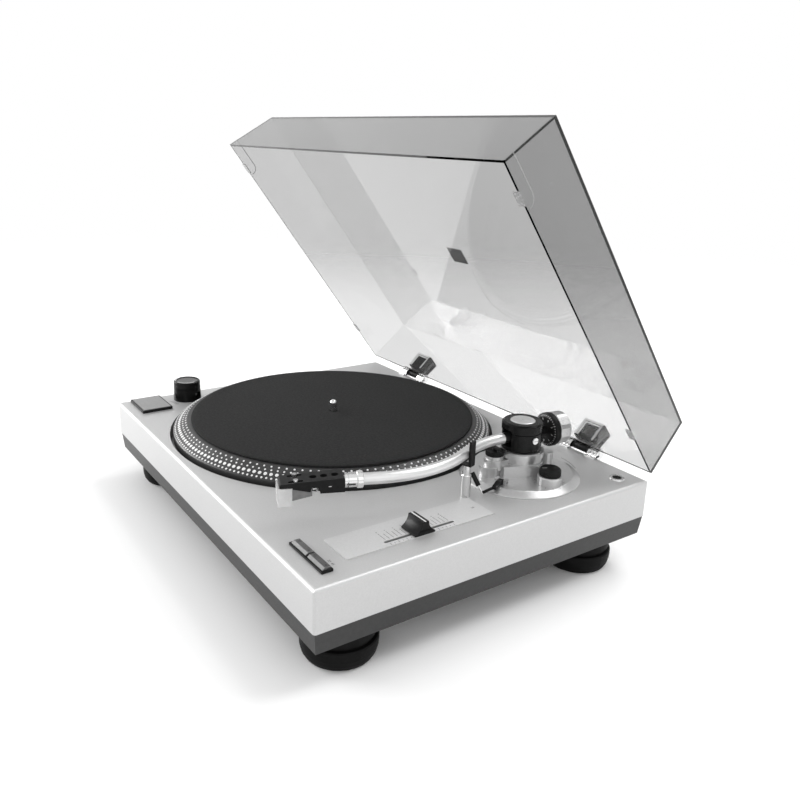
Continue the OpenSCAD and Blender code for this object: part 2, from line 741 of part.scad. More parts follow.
module motor() color([0.7, 0.7, 0.71]) at_platter()
  translate([motor_x, motor_y, -well_depth - well_wall]) difference() {
    union() {
      translate([0, 0, -motor_height - 2]) cylinder(r = motor_radius, h = motor_height);
      translate([0, 0, -2]) block(2 * motor_radius + 12, 24, 2);
      translate([0, 0, -2]) cylinder(r = 5, h = 3.4);
      translate([0, 0, -motor_height - 4]) cylinder(r = 7, h = 2.5);
    }
    translate([0, 0, -motor_height]) cylinder(r = rotor_radius + running_gap, h = 40, $fn = 48);
    for (s = [-1, 1])
      translate([s * (motor_radius + 2.5), 0, -3]) cylinder(r = 1.7, h = 6, $fn = 48);
  }

module motor_pulley() color([0.75, 0.62, 0.3]) at_platter() translate([motor_x, motor_y, 0]) {
  rotate_extrude() polygon([[0, -10], [pulley_radius + 2, -10], [pulley_radius + 2, -8.4],
    [pulley_radius, -7.6], [pulley_radius, 1.6], [pulley_radius - 2, 2.6], [0, 2.6]]);
  translate([0, 0, -well_depth - well_wall - motor_height + 0.5])
    cylinder(r = rotor_radius, h = motor_height + well_depth + well_wall - 9.5, $fn = 48);
}

// Half the angle that the belt wraps round the pulley
function belt_wrap() = acos((drive_radius - pulley_radius) / motor_distance);

// Outline of a belt run round the drive ring and the pulley with the given standoff
function belt_outline(off) = concat(
  [for (i = [0:120])
    let (a = belt_wrap() + (360 - 2 * belt_wrap()) * i / 120)
      (drive_radius + off) * [cos(a), sin(a)]],
  [for (i = [0:24])
    let (a = -belt_wrap() + 2 * belt_wrap() * i / 24)
      [motor_distance, 0] + (pulley_radius + off) * [cos(a), sin(a)]]);

module belt() color([0.08, 0.08, 0.08]) at_platter() rotate([0, 0, motor_angle])
  translate([0, 0, belt_top - belt_width]) linear_extrude(belt_width) difference() {
    polygon(belt_outline(belt_gap + belt_thick));
    polygon(belt_outline(belt_gap));
  }

// Boards and supply

module main_board() color([0.1, 0.35, 0.18]) at_floor()
  translate(board_spot + [0, 0, foot_height + board_lift]) {
    block(board_width, board_depth, board_thick);
    translate([0, 0, board_thick]) {
      translate([-20, 8, 0]) block(16, 16, 2);
      translate([14, 12, 0]) block(10, 8, 1.8);
      translate([30, -12, 0]) cylinder(r = 5, h = 12, $fn = 48);
      translate([16, -14, 0]) cylinder(r = 4, h = 10, $fn = 48);
      translate([-24, -20, 0]) block(22, 6, 7);
      translate([-32, 20, 0]) block(8, 12, 8);
    }
  }

module phono_board() color([0.1, 0.35, 0.18]) at_deck() translate(phono_spot - [0, 0, phono_drop]) {
  block(phono_board_width, phono_board_depth, board_thick);
  translate([0, 0, board_thick]) {
    translate([-20, -6, 0]) block(8, 8, 1.6);
    translate([8, -8, 0]) block(10, 10, 1.6);
    for (x = [-40, 34])
      translate([x, -8, 0]) cylinder(r = 3.2, h = 8, $fn = 48);
  }
}

module power_supply() color([0.55, 0.52, 0.4]) at_floor()
  translate(supply_spot + [0, 0, foot_height + tray_wall]) {
    block(supply_width, supply_depth, 2);
    translate([0, 0, 2]) {
      block(supply_width - 26, supply_depth - 4, 24);
      translate([6 - supply_width / 2, 0, 0]) block(12, supply_depth - 10, 12);
      translate([supply_width / 2 - 7, 0, 0]) block(10, supply_depth - 10, 10);
    }
  }

// Back sockets

module socket_plate() color(black) at_deck() translate(plate_spot - [0, 0, 11.5]) difference() {
  union() {
    translate([0, 1.6, 0]) rotate([90, 0, 0]) linear_extrude(1.6) rounded_rect(socket_length, 19, 2);
    translate([switch_spot - 8, -7.4, -4]) cube([16, 8, 8]);
  }
  for (x = phono_spots)
    translate([x, 5, 0]) rotate([90, 0, 0]) cylinder(r = phono_radius + 0.15, h = 10, $fn = 48);
  translate([usb_spot, 0, 0]) cube([12.2, 20, 11.8], center = true);
  translate([earth_spot, 5, 0]) rotate([90, 0, 0]) cylinder(r = 2.15, h = 10, $fn = 48);
  translate([switch_spot, 0, 0]) cube([13, 20, 4], center = true);
}

module phono_sockets() color(chrome) at_deck() for (x = phono_spots)
  translate(plate_spot + [x, 1.6 + phono_length, -11.5]) rotate([90, 0, 0]) difference() {
    union() {
      cylinder(r = phono_radius, h = phono_length, $fn = 64);
      cylinder(r = phono_radius - 0.3, h = phono_length + 9, $fn = 64);
      translate([0, 0, phono_length + 1.6]) cylinder(r = 6, h = 5, $fn = 64);
    }
    translate([0, 0, -1]) cylinder(r = 1.65, h = 11, $fn = 48);
  }

module usb_socket() color(steel) at_deck()
  translate(plate_spot + [usb_spot, 2.2, -11.5]) difference() {
    union() {
      translate([0, -8.5, 0]) cube([12, 17, 11.6], center = true);
      translate([0, -3.2, 0]) cube([15, 2, 14], center = true);
    }
    translate([0, -4.5, 0]) cube([8.6, 12, 8], center = true);
  }

module earth_post() color([0.75, 0.62, 0.3]) at_deck()
  translate(plate_spot + [earth_spot, 12, -11.5]) rotate([90, 0, 0]) {
    cylinder(r = 2, h = 21, $fn = 48);
    translate([0, 0, 12]) cylinder(r = 4, h = 3, $fn = 48);
    translate([0, 0, 3]) rotate_extrude($fn = 64)
      polygon([[0, 0], [4.6, 0], [5, 0.5], [5, 4.5], [4.2, 5], [0, 5]]);
  }

module line_switch() color([0.9, 0.9, 0.88]) at_deck()
  translate(plate_spot + [switch_spot - 2.5, 0, -11.5]) {
    translate([0, -0.7, 0]) cube([4, 8.6, 3.4], center = true);
    translate([0, -5.3, 0]) cube([6, 1.2, 3.4], center = true);
  }

module mains_inlet() color(black) at_deck() translate(inlet_spot + [0, 1.6, -13.5]) {
  difference() {
    union() {
      rotate([90, 0, 0]) linear_extrude(1.6) rounded_rect(32, 21, 2);
      translate([-11.5, -22, -6.8]) cube([23, 22, 13.6]);
    }
    translate([0, 1, 0]) rotate([90, 0, 0]) linear_extrude(18) {
      square([8.6, 8], center = true);
      for (s = [-1, 1])
        translate([s * 4.3, 0]) circle(4, $fn = 48);
    }
  }
  for (s = [-1, 1])
    translate([s * 4.3, -8, 0]) rotate([90, 0, 0]) cylinder(r = 1.2, h = 10, $fn = 32);
}

// Arm base

module arm_plate() color(silver) at_deck() translate([pivot_x, pivot_y, 0]) difference() {
  union() {
    rotate_extrude($fn = 160) polygon([[11, 0], [plate_radius, 0], [plate_radius, 0.8],
      [plate_radius - 0.6, 1.4], [plate_radius - 6, plate_height - 0.3], [plate_radius - 7, plate_height],
      [11, plate_height]]);
    rotate([0, 0, lever_angle]) for (s = [-1, 1])
      translate([lever_radial - 3, s * 4 - 1.3, plate_height - 1]) cube([6, 2.6, 5.6]);
  }
  translate([platter_x - pivot_x, platter_y - pivot_y, -1])
    cylinder(r = well_radius + 0.4, h = plate_height + 2, $fn = 180);
  rotate([0, 0, lever_angle]) translate([lever_radial - 6, -2.7, 1]) cube([13, 5.4, 10]);
  rotate([0, 0, lever_angle]) translate([lever_radial, 10, lever_z]) rotate([90, 0, 0])
    cylinder(r = 1 + running_gap, h = 20, $fn = 48);
}

module arm_mount() color(silver) at_deck() translate([pivot_x, pivot_y, 0]) difference() {
  union() {
    translate([0, 0, plate_height]) cylinder(r = column_radius + 0.6, h = 1.5);
    translate([0, 0, block_top_z - 1]) cylinder(r = column_radius, h = 27 - block_top_z);
    translate([0, 0, block_top_z - 0.5]) cylinder(r = column_radius + 1.2, h = 1.6);
    translate([0, 0, 20.8]) cylinder(r = column_radius + 1.4, h = 4.6);
    translate([0, 0, -8]) cylinder(r = 10.8, h = 20);
    translate([-4.4, -lifter_distance - 1, plate_height + 6])
      cylinder(r = 9.6, h = 20 - plate_height - 6);
    translate([-14, -lifter_distance - 1, plate_height + 6])
      cube([19.2, lifter_distance, 20 - plate_height - 6]);
    translate([-5.4, -lifter_distance - 5, plate_height]) cylinder(r = 10, h = 9);
    translate([0, 0, plate_height]) linear_extrude(block_top_z - plate_height)
      polygon([[-14, -lifter_distance], [8, -lifter_distance], [19.4, -5], [24.6, 9], [-14, 9]]);
    translate([-4.4, -lifter_distance - 1, 19]) cylinder(r = 8.2, h = block_low - 19);
    translate([4, 30, plate_height]) cylinder(r = 6, h = 12.5);
  }
  translate([0, 0, -10]) cylinder(r = 6 + running_gap, h = 50, $fn = 64);
  translate([-4.4, -lifter_distance - 1, block_low]) cylinder(r = 8.7, h = 20);
  translate([-4.4, -lifter_distance - 1, block_top - 6.1]) cylinder(r = 3, h = 20);
}

module lifter_spot() {
  at_deck() translate([pivot_x - 4.4, pivot_y - lifter_distance - 1, 0]) children();
}

module lifter_block() color(black) lifter_spot() difference() {
  translate([0, 0, block_low]) cylinder(r = 8.2, h = block_top - block_low);
  translate([0, 0, block_top - 6.1]) cylinder(r = 2 + running_gap, h = 20, $fn = 48);
}

// The pin reaches down far enough to stay guided when the bar is up
module lifter() color([0.15, 0.15, 0.15]) lifter_spot() {
  low = block_top - lifter_rise - 2.8;
  translate([0, 0, low]) cylinder(r = 2, h = bar_top - 0.6 - low, $fn = 48);
  translate([0, 0, bar_top - 1.6]) block(24, 4, 1.6);
}

// A bent flat blade on its axle, a tapering neck, then a thin rod and a thicker grip
module cue_lever() color(black) at_lever() {
  crook = [7.5, 1.4];
  tip = [14, -0.4];
  neck = [22, -8, -4.4];
  grip = [20.2, -19.4, 11];
  translate([0, 5.1, 0]) rotate([90, 0, 0]) cylinder(r = 1, h = 10.2, $fn = 48);
  translate([0, 1.9, 0]) rotate([90, 0, 0]) linear_extrude(3.8) {
    circle(2.4, $fn = 48);
    for (p = [crook, tip])
      translate(p) circle(1.9, $fn = 48);
    flat_bar([0, 0], crook, 1.9);
    flat_bar(crook, tip, 1.9);
  }
  rod([tip.x - 1.4, -0.2, tip.y + 0.2], neck, 1.3);
  rod(neck - 0.06 * (grip - neck), neck + 0.42 * (grip - neck), 0.8);
  rod(neck + 0.35 * (grip - neck), grip, 2.1);
}

module skate_post() color(silver) at_deck()
  translate([pivot_x + skate_x, pivot_y + skate_y, plate_height]) difference() {
    rotate_extrude() polygon([[0, 0], [skate_radius, 0], [skate_radius, 7], [skate_radius - 0.8, 7.8],
      [0, 7.8]]);
    translate([0, 0, 1]) cylinder(r = 2 + running_gap, h = 20, $fn = 48);
  }

module skate_knob() color(black) at_deck()
  translate([pivot_x + skate_x, pivot_y + skate_y, plate_height]) {
    translate([0, 0, 8.2]) rotate_extrude() polygon([[0, 0], [skate_radius - 1.4, 0],
      [skate_radius - 1.4, 5.2], [skate_radius - 2.6, 6.4], [0, 6.4]]);
    translate([0, 0, 1.4]) cylinder(r = 2, h = 7.4, $fn = 48);
  }

module rest_post() color(silver) at_deck() translate(rest_spot) {
  rotate_extrude() polygon([[0, 0], [4.4, 0], [4.4, 19.6], [4, 20.2], [3.4, 20.2], [3.4, clip_z],
    [0, clip_z]]);
  translate([0, 0, -8]) cylinder(r = 2, h = 9);
}

// The rest clip stands square to the tube, whose heading there is about twenty degrees
module rest_clip() color(black) at_deck() translate(rest_spot + [0, 0, clip_z]) rotate([0, 0, 20]) {
  translate([-10.4, -3.4, 0]) cube([14.8, 6.8, 1.4]);
  translate([3.1, -3.4, 0]) cube([2.6, 6.8, clip_arm]);
  translate([-10.4, -3.4, 0]) cube([1.8, 6.8, 2.8]);
}

module shell_socket() color(steel) at_deck() translate(spare_spot) difference() {
  union() {
    rotate_extrude() polygon([[0, 0], [7.2, 0], [6.6, 0.9], [0, 0.9]]);
    translate([0, 0, -spare_depth - 1]) cylinder(r = spare_radius + 1.4, h = spare_depth + 1.4);
  }
  translate([0, 0, 0.9 - spare_depth]) cylinder(r = spare_radius, h = spare_depth + 5);
}

// Arm

module pivot_housing() color(black) at_stub() difference() {
  translate([0, 0, -arm_z]) union() {
    rotate_extrude() polygon([[0, pivot_low], [pivot_radius - 1, pivot_low],
      [pivot_radius, pivot_low + 1], [pivot_radius, 43], [pivot_radius - 0.6, 43.4],
      [pivot_radius - 0.6, 44.2], [pivot_radius + 0.6, 44.6], [pivot_radius + 0.6, pivot_high - 1.6],
      [pivot_radius - 1, pivot_high], [11.4, pivot_high], [11.4, pivot_high - 1], [0, pivot_high - 1]]);
    translate([0, 0, 4]) cylinder(r = 6, h = pivot_low - 3, $fn = 64);
  }
  translate([-30, -tube_radius - 1.3, -tube_radius - 3])
    cube([60, 2 * tube_radius + 2.6, 2 * tube_radius + 6]);
  for (s = [-1, 1])
    translate([0, s * 25, 0]) rotate([s * 90, 0, 0]) cylinder(r = 2.1, h = 22, $fn = 48);
}

module pivot_cap() color(chrome) at_pivot() translate([0, 0, pivot_high - 1]) rotate_extrude()
  polygon([[0, 0], [11.2, 0], [11.2, 0.9], [10.6, 1.4], [0, 1.4]]);

module pivot_screws() color(steel) at_stub() for (s = [-1, 1])
  rotate([0, 0, s * 90]) {
    translate([3.6, 0, 0]) along_x() cylinder(r = 1.2, h = 3, $fn = 48);
    translate([6.3, 0, 0]) along_x() cylinder(r = 2, h = pivot_radius - 5.9, $fn = 48);
    translate([pivot_radius, 0, 0]) difference() {
      along_x() cylinder(r = 3, h = 1.2, $fn = 64);
      translate([0.6, -5, -0.4]) cube([4, 10, 0.8]);
    }
  }

module bend(r, a, t) {
  translate([0, r, 0]) rotate([0, 0, -90]) rotate_extrude(angle = a, $fn = 96)
    translate([r, 0]) circle(t, $fn = 48);
}

// Hair-thin weld bead where two lengths of tube meet
module seam() {
  translate([-0.3, 0, 0]) along_x() cylinder(r = tube_radius + 0.04, h = 0.6, $fn = 48);
}

module arm_tube() color(chrome) {
  at_stub() difference() {
    union() {
      translate([-16, 0, 0]) along_x() cylinder(r = tube_radius, h = tube_straight + 16, $fn = 48);
      translate([-stub_length, 0, 0]) along_x() cylinder(r = stub_radius, h = stub_length, $fn = 64);
    }
    for (s = [-1, 1])
      rotate([0, 0, s * 90]) translate([3.5, 0, 0]) along_x()
        cylinder(r = 1.2 + running_gap, h = 6, $fn = 48);
  }
  at_stub() translate([tube_straight, 0, 0]) {
    bend(bend_one_radius, bend_one_angle, tube_radius);
    seam();
    translate([bend_one_radius * sin(bend_one_angle), bend_one_radius * (1 - cos(bend_one_angle)), 0])
      rotate([0, 0, bend_one_angle]) {
        mirror([0, 1, 0]) bend(bend_two_radius, bend_two_angle, tube_radius);
        seam();
      }
  }
  at_shell() seam();
  at_shell() along_x() cylinder(r = tube_radius, h = tube_end, $fn = 48);
  at_shell() translate([tube_end, 0, 0]) along_x()
    cylinder(r = tube_radius - 0.8, h = collar_length + 0.5, $fn = 48);
}

module locking_collar() color(chrome) at_shell() translate([tube_end + 0.2, 0, 0]) difference() {
  along_x() rotate_extrude($fn = 72) polygon([[0, 0], [collar_radius + 0.2, 0],
    [collar_radius + 0.6, 0.4], [collar_radius + 0.6, 4.6], [collar_radius + 0.2, 5],
    [collar_radius - 0.3, 5],
    [collar_radius - 0.3, collar_length - 3.4], [collar_radius - 1.2, collar_length - 3.4],
    [collar_radius - 1.2, collar_length - 2.4], [collar_radius - 0.3, collar_length - 2.4],
    [collar_radius - 0.3, collar_length - 0.4], [0, collar_length - 0.4]]);
  translate([-1, 0, 0]) along_x()
    cylinder(r = tube_radius - 0.8 + running_gap, h = collar_length + 5, $fn = 48);
}

// Headshell: a wedge seen from the side, deep at the collar and thin at its front
module headshell() color(black) at_shell() translate([shell_start + 0.5, 0, 0]) difference() {
  translate([0, shell_width / 2, 0]) rotate([90, 0, 0]) linear_extrude(shell_width)
    polygon([[0, -6], [19, -6], [20.4, -1], [25.4, -0.6], [26.6, -4.4], [guard_back - 0.4, -1.2],
      [guard_back - 0.4, 0], [shell_length, 0], [shell_length, 2.4], [shell_length - 1, 3.2], [1, 5.6],
      [0, 5]]);
  translate([3, -shell_width / 2 + 2.4, -10]) cube([21, shell_width - 4.8, 12.4]);
  translate([23, -cartridge_width / 2 - 0.2, -10]) cube([shell_length, cartridge_width + 0.4, 10]);
  for (s = [-1, 1])
    translate([shell_screw, s * 5.6, -1]) {
      translate([-4.5, -1.4, 0]) cube([9, 2.8, 20]);
      for (e = [-4.5, 4.5])
        translate([e, 0, 0]) cylinder(r = 1.39, h = 20, $fn = 32);
    }
  for (i = [0:2])
    translate([7 + i * 8.4, 0, -1]) cylinder(r = 2.9, h = 20, $fn = 32);
}

module cartridge() color([0.5, 0.5, 0.5]) at_shell() translate([shell_start + 0.5, 0, 0]) {
  translate([0, cartridge_width / 2, 0]) rotate([90, 0, 0]) linear_extrude(cartridge_width)
    polygon([[25, 0], [45.5, 0], [45.5, -11], [41, -11.6], [25, -8.4]]);
  rod([41, 0, -10.6], [47.4, 0, -14.2], 0.45);
  rod([47.4, 0, -13.9], [47.4, 0, -15], 0.35);
  for (y = [-4.2, -1.4, 1.4, 4.2])
    translate([21.4, y, -3.6]) along_x() cylinder(r = 0.6, h = 4.4, $fn = 24);
}

module shell_screws() color(steel) at_shell() translate([shell_start + 0.5, 0, 0]) for (s = [-1, 1])
  translate([shell_screw, s * 5.6, 0]) {
    translate([0, 0, 0.05]) cylinder(r = 1.1, h = 4.6, $fn = 48);
    translate([0, 0, 3.95]) difference() {
      cylinder(r = 2, h = 1.4, $fn = 48);
      translate([-3, -0.3, 0.9]) cube([6, 0.6, 2]);
    }
  }

// Guard: a small clear hood round the stylus, pulled off towards the front
module stylus_guard() color([0.9, 0.9, 0.92]) at_shell()
  translate([shell_start + 0.5 + guard_back, 0, -guard_drop]) {
    for (s = [-1, 1])
      translate([0, s * 8.1 - 0.6, 0]) cube([guard_length, 1.2, guard_drop - 0.6]);
    translate([guard_length - 1.2, -8.7, 0]) cube([1.2, 17.4, guard_drop - 0.6]);
  }

module weight_dial() color(black) at_stub()
  translate([-dial_start, 0, 0]) rotate([0, -90, 0]) difference() {
    rotate_extrude() polygon([[0, 0], [dial_radius - 3.4, 0], [dial_radius - 0.6, 1.4],
      [dial_radius, 2.2], [dial_radius, dial_thick - 0.6], [dial_radius - 0.6, dial_thick],
      [0, dial_thick]]);
    translate([0, 0, -1]) cylinder(r = stub_radius + 2.6 + running_gap, h = 20, $fn = 64);
  }

module counterweight() color(steel) at_stub()
  translate([-dial_start - dial_thick - 0.4, 0, 0]) rotate([0, -90, 0]) difference() {
    union() {
      intersection() {
        rotate_extrude() polygon([[0, 0], [weight_radius - 0.8, 0], [weight_radius, 0.8],
          [weight_radius, weight_length - 1], [weight_radius - 1, weight_length], [0, weight_length]]);
        rotate([0, 0, 22.5]) translate([0, 0, -1])
          cylinder(r = weight_radius / cos(22.5) - 0.6, h = weight_length + 2, $fn = 8);
      }
      translate([0, 0, -dial_thick - 0.2]) cylinder(r = stub_radius + 2.6, h = dial_thick + 1, $fn = 64);
    }
    translate([0, 0, -dial_thick - 2]) cylinder(r = stub_radius + running_gap, h = 60, $fn = 64);
  }

// Dust cover

module cover_shell(inset, h) {
  w = cover_width - 2 * inset;
  d = cover_depth - 2 * inset;
  lean = 2 * cover_lean * h / cover_height;
  leaning_box(w, d, w - lean, d - lean, h);
}

// Origin in the middle of the cover's rim
module at_rim() {
  at_cover() translate([0, -hinge_to_rim - cover_depth / 2, cover_lift - hinge_up]) children();
}

// The cover's outer back face, at a height over its rim
function back_face(z) = cover_depth / 2 - cover_lean * z / cover_height;

// A box on the cover's back, open below for the hinge leaf
module hinge_pocket() {
  high = pocket_low + pocket_height;
  axis_y = cover_depth / 2 + hinge_to_rim;
  slot = leaf_thick + 2 * pocket_gap;
  difference() {
    translate([-pocket_width / 2, 0, 0]) rotate([90, 0, 90]) linear_extrude(pocket_width)
      polygon([[back_face(pocket_low) - cover_wall / 2, pocket_low], [axis_y + pocket_back, pocket_low],
        [axis_y + pocket_back, high], [back_face(high) - cover_wall / 2, high]]);
    translate([-leaf_width / 2 - pocket_gap, axis_y - slot / 2, 0])
      cube([leaf_width + 2 * pocket_gap, slot, high - pocket_wall]);
  }
}

module dust_cover() color([0.35, 0.35, 0.36, 0.4]) at_rim() {
  difference() {
    cover_shell(0, cover_height);
    translate([0, 0, -0.01]) cover_shell(cover_wall, cover_height - cover_wall);
  }
  for (s = [-1, 1])
    translate([s * hinge_spot, 0, 0]) hinge_pocket();
}

module hinge_leaves() color(black) at_cover() for (s = [-1, 1])
  translate([s * hinge_spot - leaf_width / 2, 0, 0]) difference() {
    union() {
      along_x() cylinder(r = 4, h = leaf_width, $fn = 64);
      translate([0, -leaf_thick / 2, 0]) cube([leaf_width, leaf_thick,
        pocket_low + pocket_height - pocket_wall - pocket_gap - (hinge_up - cover_lift)]);
    }
    translate([-1, 0, 0]) along_x() cylinder(r = pin_radius + running_gap, h = leaf_width + 2, $fn = 48);
  }

module hinge_brackets() color(chrome) at_deck() for (s = [-1, 1])
  translate([s * hinge_spot, case_depth / 2, 0]) {
    translate([-bracket_half, 0, -18]) cube([2 * bracket_half, 1.8, 14]);
    for (x = [-lugs_half, lugs_half - lug_width])
      translate([x, 0, 0]) {
        translate([0, 0, -10]) cube([lug_width, hinge_back, 10 + hinge_up]);
        translate([0, hinge_back, hinge_up]) along_x() cylinder(r = knuckle_radius, h = lug_width, $fn = 64);
      }
    translate([-pin_half, hinge_back, hinge_up]) along_x()
      cylinder(r = pin_radius, h = 2 * pin_half, $fn = 48);
  }

module cover_bumpers() color([0.12, 0.12, 0.12]) at_rim() for (sx = [-1, 1])
  for (y = [-cover_depth / 2 + 26, cover_depth / 2 - 60])
    translate([sx * (cover_width / 2 - 3.1) - 3.1, y, -bumper_height]) cube([6.2, 12, bumper_height]);

top_case();
base_tray();
feet();
foot_screws();
base_screws();
start_bezel();
speed_bezel();
pitch_panel();
strobe_tower();
strobe_lamp();
arm_plate();
arm_mount();
skate_post();
rest_post();
rest_clip();
lifter_block();
shell_socket();
hinge_brackets();
bearing_housing();
motor();
belt();
main_board();
phono_board();
power_supply();
start_switch();
speed_switches();
pitch_slider();
socket_plate();
phono_sockets();
usb_socket();
earth_post();
mains_inlet();
platter();
slipmat();
spindle();
motor_pulley();
dust_cover();
hinge_leaves();
cover_bumpers();
pivot_housing();
pivot_cap();
pivot_screws();
arm_tube();
headshell();
cartridge();
shell_screws();
locking_collar();
stylus_guard();
counterweight();
weight_dial();
skate_knob();
cue_lever();
lifter();
start_button();
speed_button_33();
speed_button_45();
pitch_fader();
power_cap();
line_switch();
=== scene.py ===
import math
import random

import bpy
from mathutils import Matrix, Vector


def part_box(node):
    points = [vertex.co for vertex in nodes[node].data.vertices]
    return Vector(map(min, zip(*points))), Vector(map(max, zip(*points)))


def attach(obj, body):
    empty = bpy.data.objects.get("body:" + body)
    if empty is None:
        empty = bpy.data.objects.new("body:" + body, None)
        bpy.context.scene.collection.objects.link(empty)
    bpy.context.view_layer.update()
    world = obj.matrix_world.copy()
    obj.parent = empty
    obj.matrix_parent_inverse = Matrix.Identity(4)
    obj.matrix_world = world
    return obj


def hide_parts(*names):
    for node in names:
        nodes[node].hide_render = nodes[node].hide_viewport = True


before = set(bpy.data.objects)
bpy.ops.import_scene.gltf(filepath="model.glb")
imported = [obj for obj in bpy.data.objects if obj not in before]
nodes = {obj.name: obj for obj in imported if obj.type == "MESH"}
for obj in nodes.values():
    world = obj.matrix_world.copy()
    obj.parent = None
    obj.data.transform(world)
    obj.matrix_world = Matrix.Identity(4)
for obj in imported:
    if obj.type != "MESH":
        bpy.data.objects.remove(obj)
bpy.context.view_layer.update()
mm = 0.001
random.seed(7)
print("stage: frame loaded")


def turn(degrees, axis):
    return Matrix.Rotation(math.radians(degrees), 4, axis)


def shift(x, y=0.0, z=0.0):
    return Matrix.Translation((x * mm, y * mm, z * mm))


def overMiddle(node, height=None):
    # Frame over the middle of a node, at its top or at the height that is given
    low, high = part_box(node)
    z = high.z if height is None else height
    return Matrix.Translation(((low.x + high.x) / 2, (low.y + high.y) / 2, z))


# Places: millimetres from the middle of the casing, heights over the deck
atDeck = overMiddle("top_case")
deckHeight = atDeck.translation.z
atPlatter = overMiddle("platter", deckHeight)
atTower = overMiddle("strobe_tower", deckHeight)
atPivot = overMiddle("pivot_cap", deckHeight) @ turn(-90, "Z")

# The arm's run, as it is built
armRun = {
    "height": 38.5,        # tube's middle over the deck
    "stubAngle": 4,        # heading at the pivot, degrees inwards
    "straight": 22.3,
    "bendOne": (101.6, 31),   # radius, degrees
    "bendTwo": (105, 49),
    "shellStart": 30,      # from the end of the bends to the headshell
}
atStub = atPivot @ shift(0, 0, armRun["height"]) @ turn(-armRun["stubAngle"], "Z")


def bentBy(radius, degrees, side):
    a = math.radians(degrees)
    return shift(radius * math.sin(a), side * radius * (1 - math.cos(a))) @ turn(side * degrees, "Z")


atBends = (atStub @ shift(armRun["straight"]) @ bentBy(*armRun["bendOne"], 1)
           @ bentBy(*armRun["bendTwo"], -1))
atShell = atBends @ shift(armRun["shellStart"])

# The open cover: x along the hinge, y towards the back rim, z out through the top plate
coverOpen = {"angle": 53.3, "hinge": (0, 179.1, 2.5), "rimBack": 7.6, "depth": 340.9, "height": 58.5,
             "rimDrop": 1.0, "width": 454, "lean": 5.4, "wall": 2.2}
atCover = atDeck @ shift(*coverOpen["hinge"]) @ turn(-coverOpen["angle"], "X")
atRim = atCover @ shift(0, -coverOpen["rimBack"] - coverOpen["depth"] / 2, -coverOpen["rimDrop"])


# Mesh helpers
def addPiece(name, points, faces, material, body, smooth=False):
    mesh = bpy.data.meshes.new(name)
    mesh.from_pydata([tuple(p) for p in points], [], faces)
    mesh.validate()
    mesh.update()
    for polygon in mesh.polygons:
        polygon.use_smooth = smooth
    mesh.materials.append(material)
    piece = bpy.data.objects.new(name, mesh)
    bpy.context.scene.collection.objects.link(piece)
    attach(piece, body)
    return piece


def ringFaces(steps, count):
    # Faces round a closed ring with count points in each of its sections
    faces = []
    for i in range(steps):
        j = (i + 1) % steps
        for k in range(count):
            after = (k + 1) % count
            faces.append((i * count + k, j * count + k, j * count + after, i * count + after))
    return faces


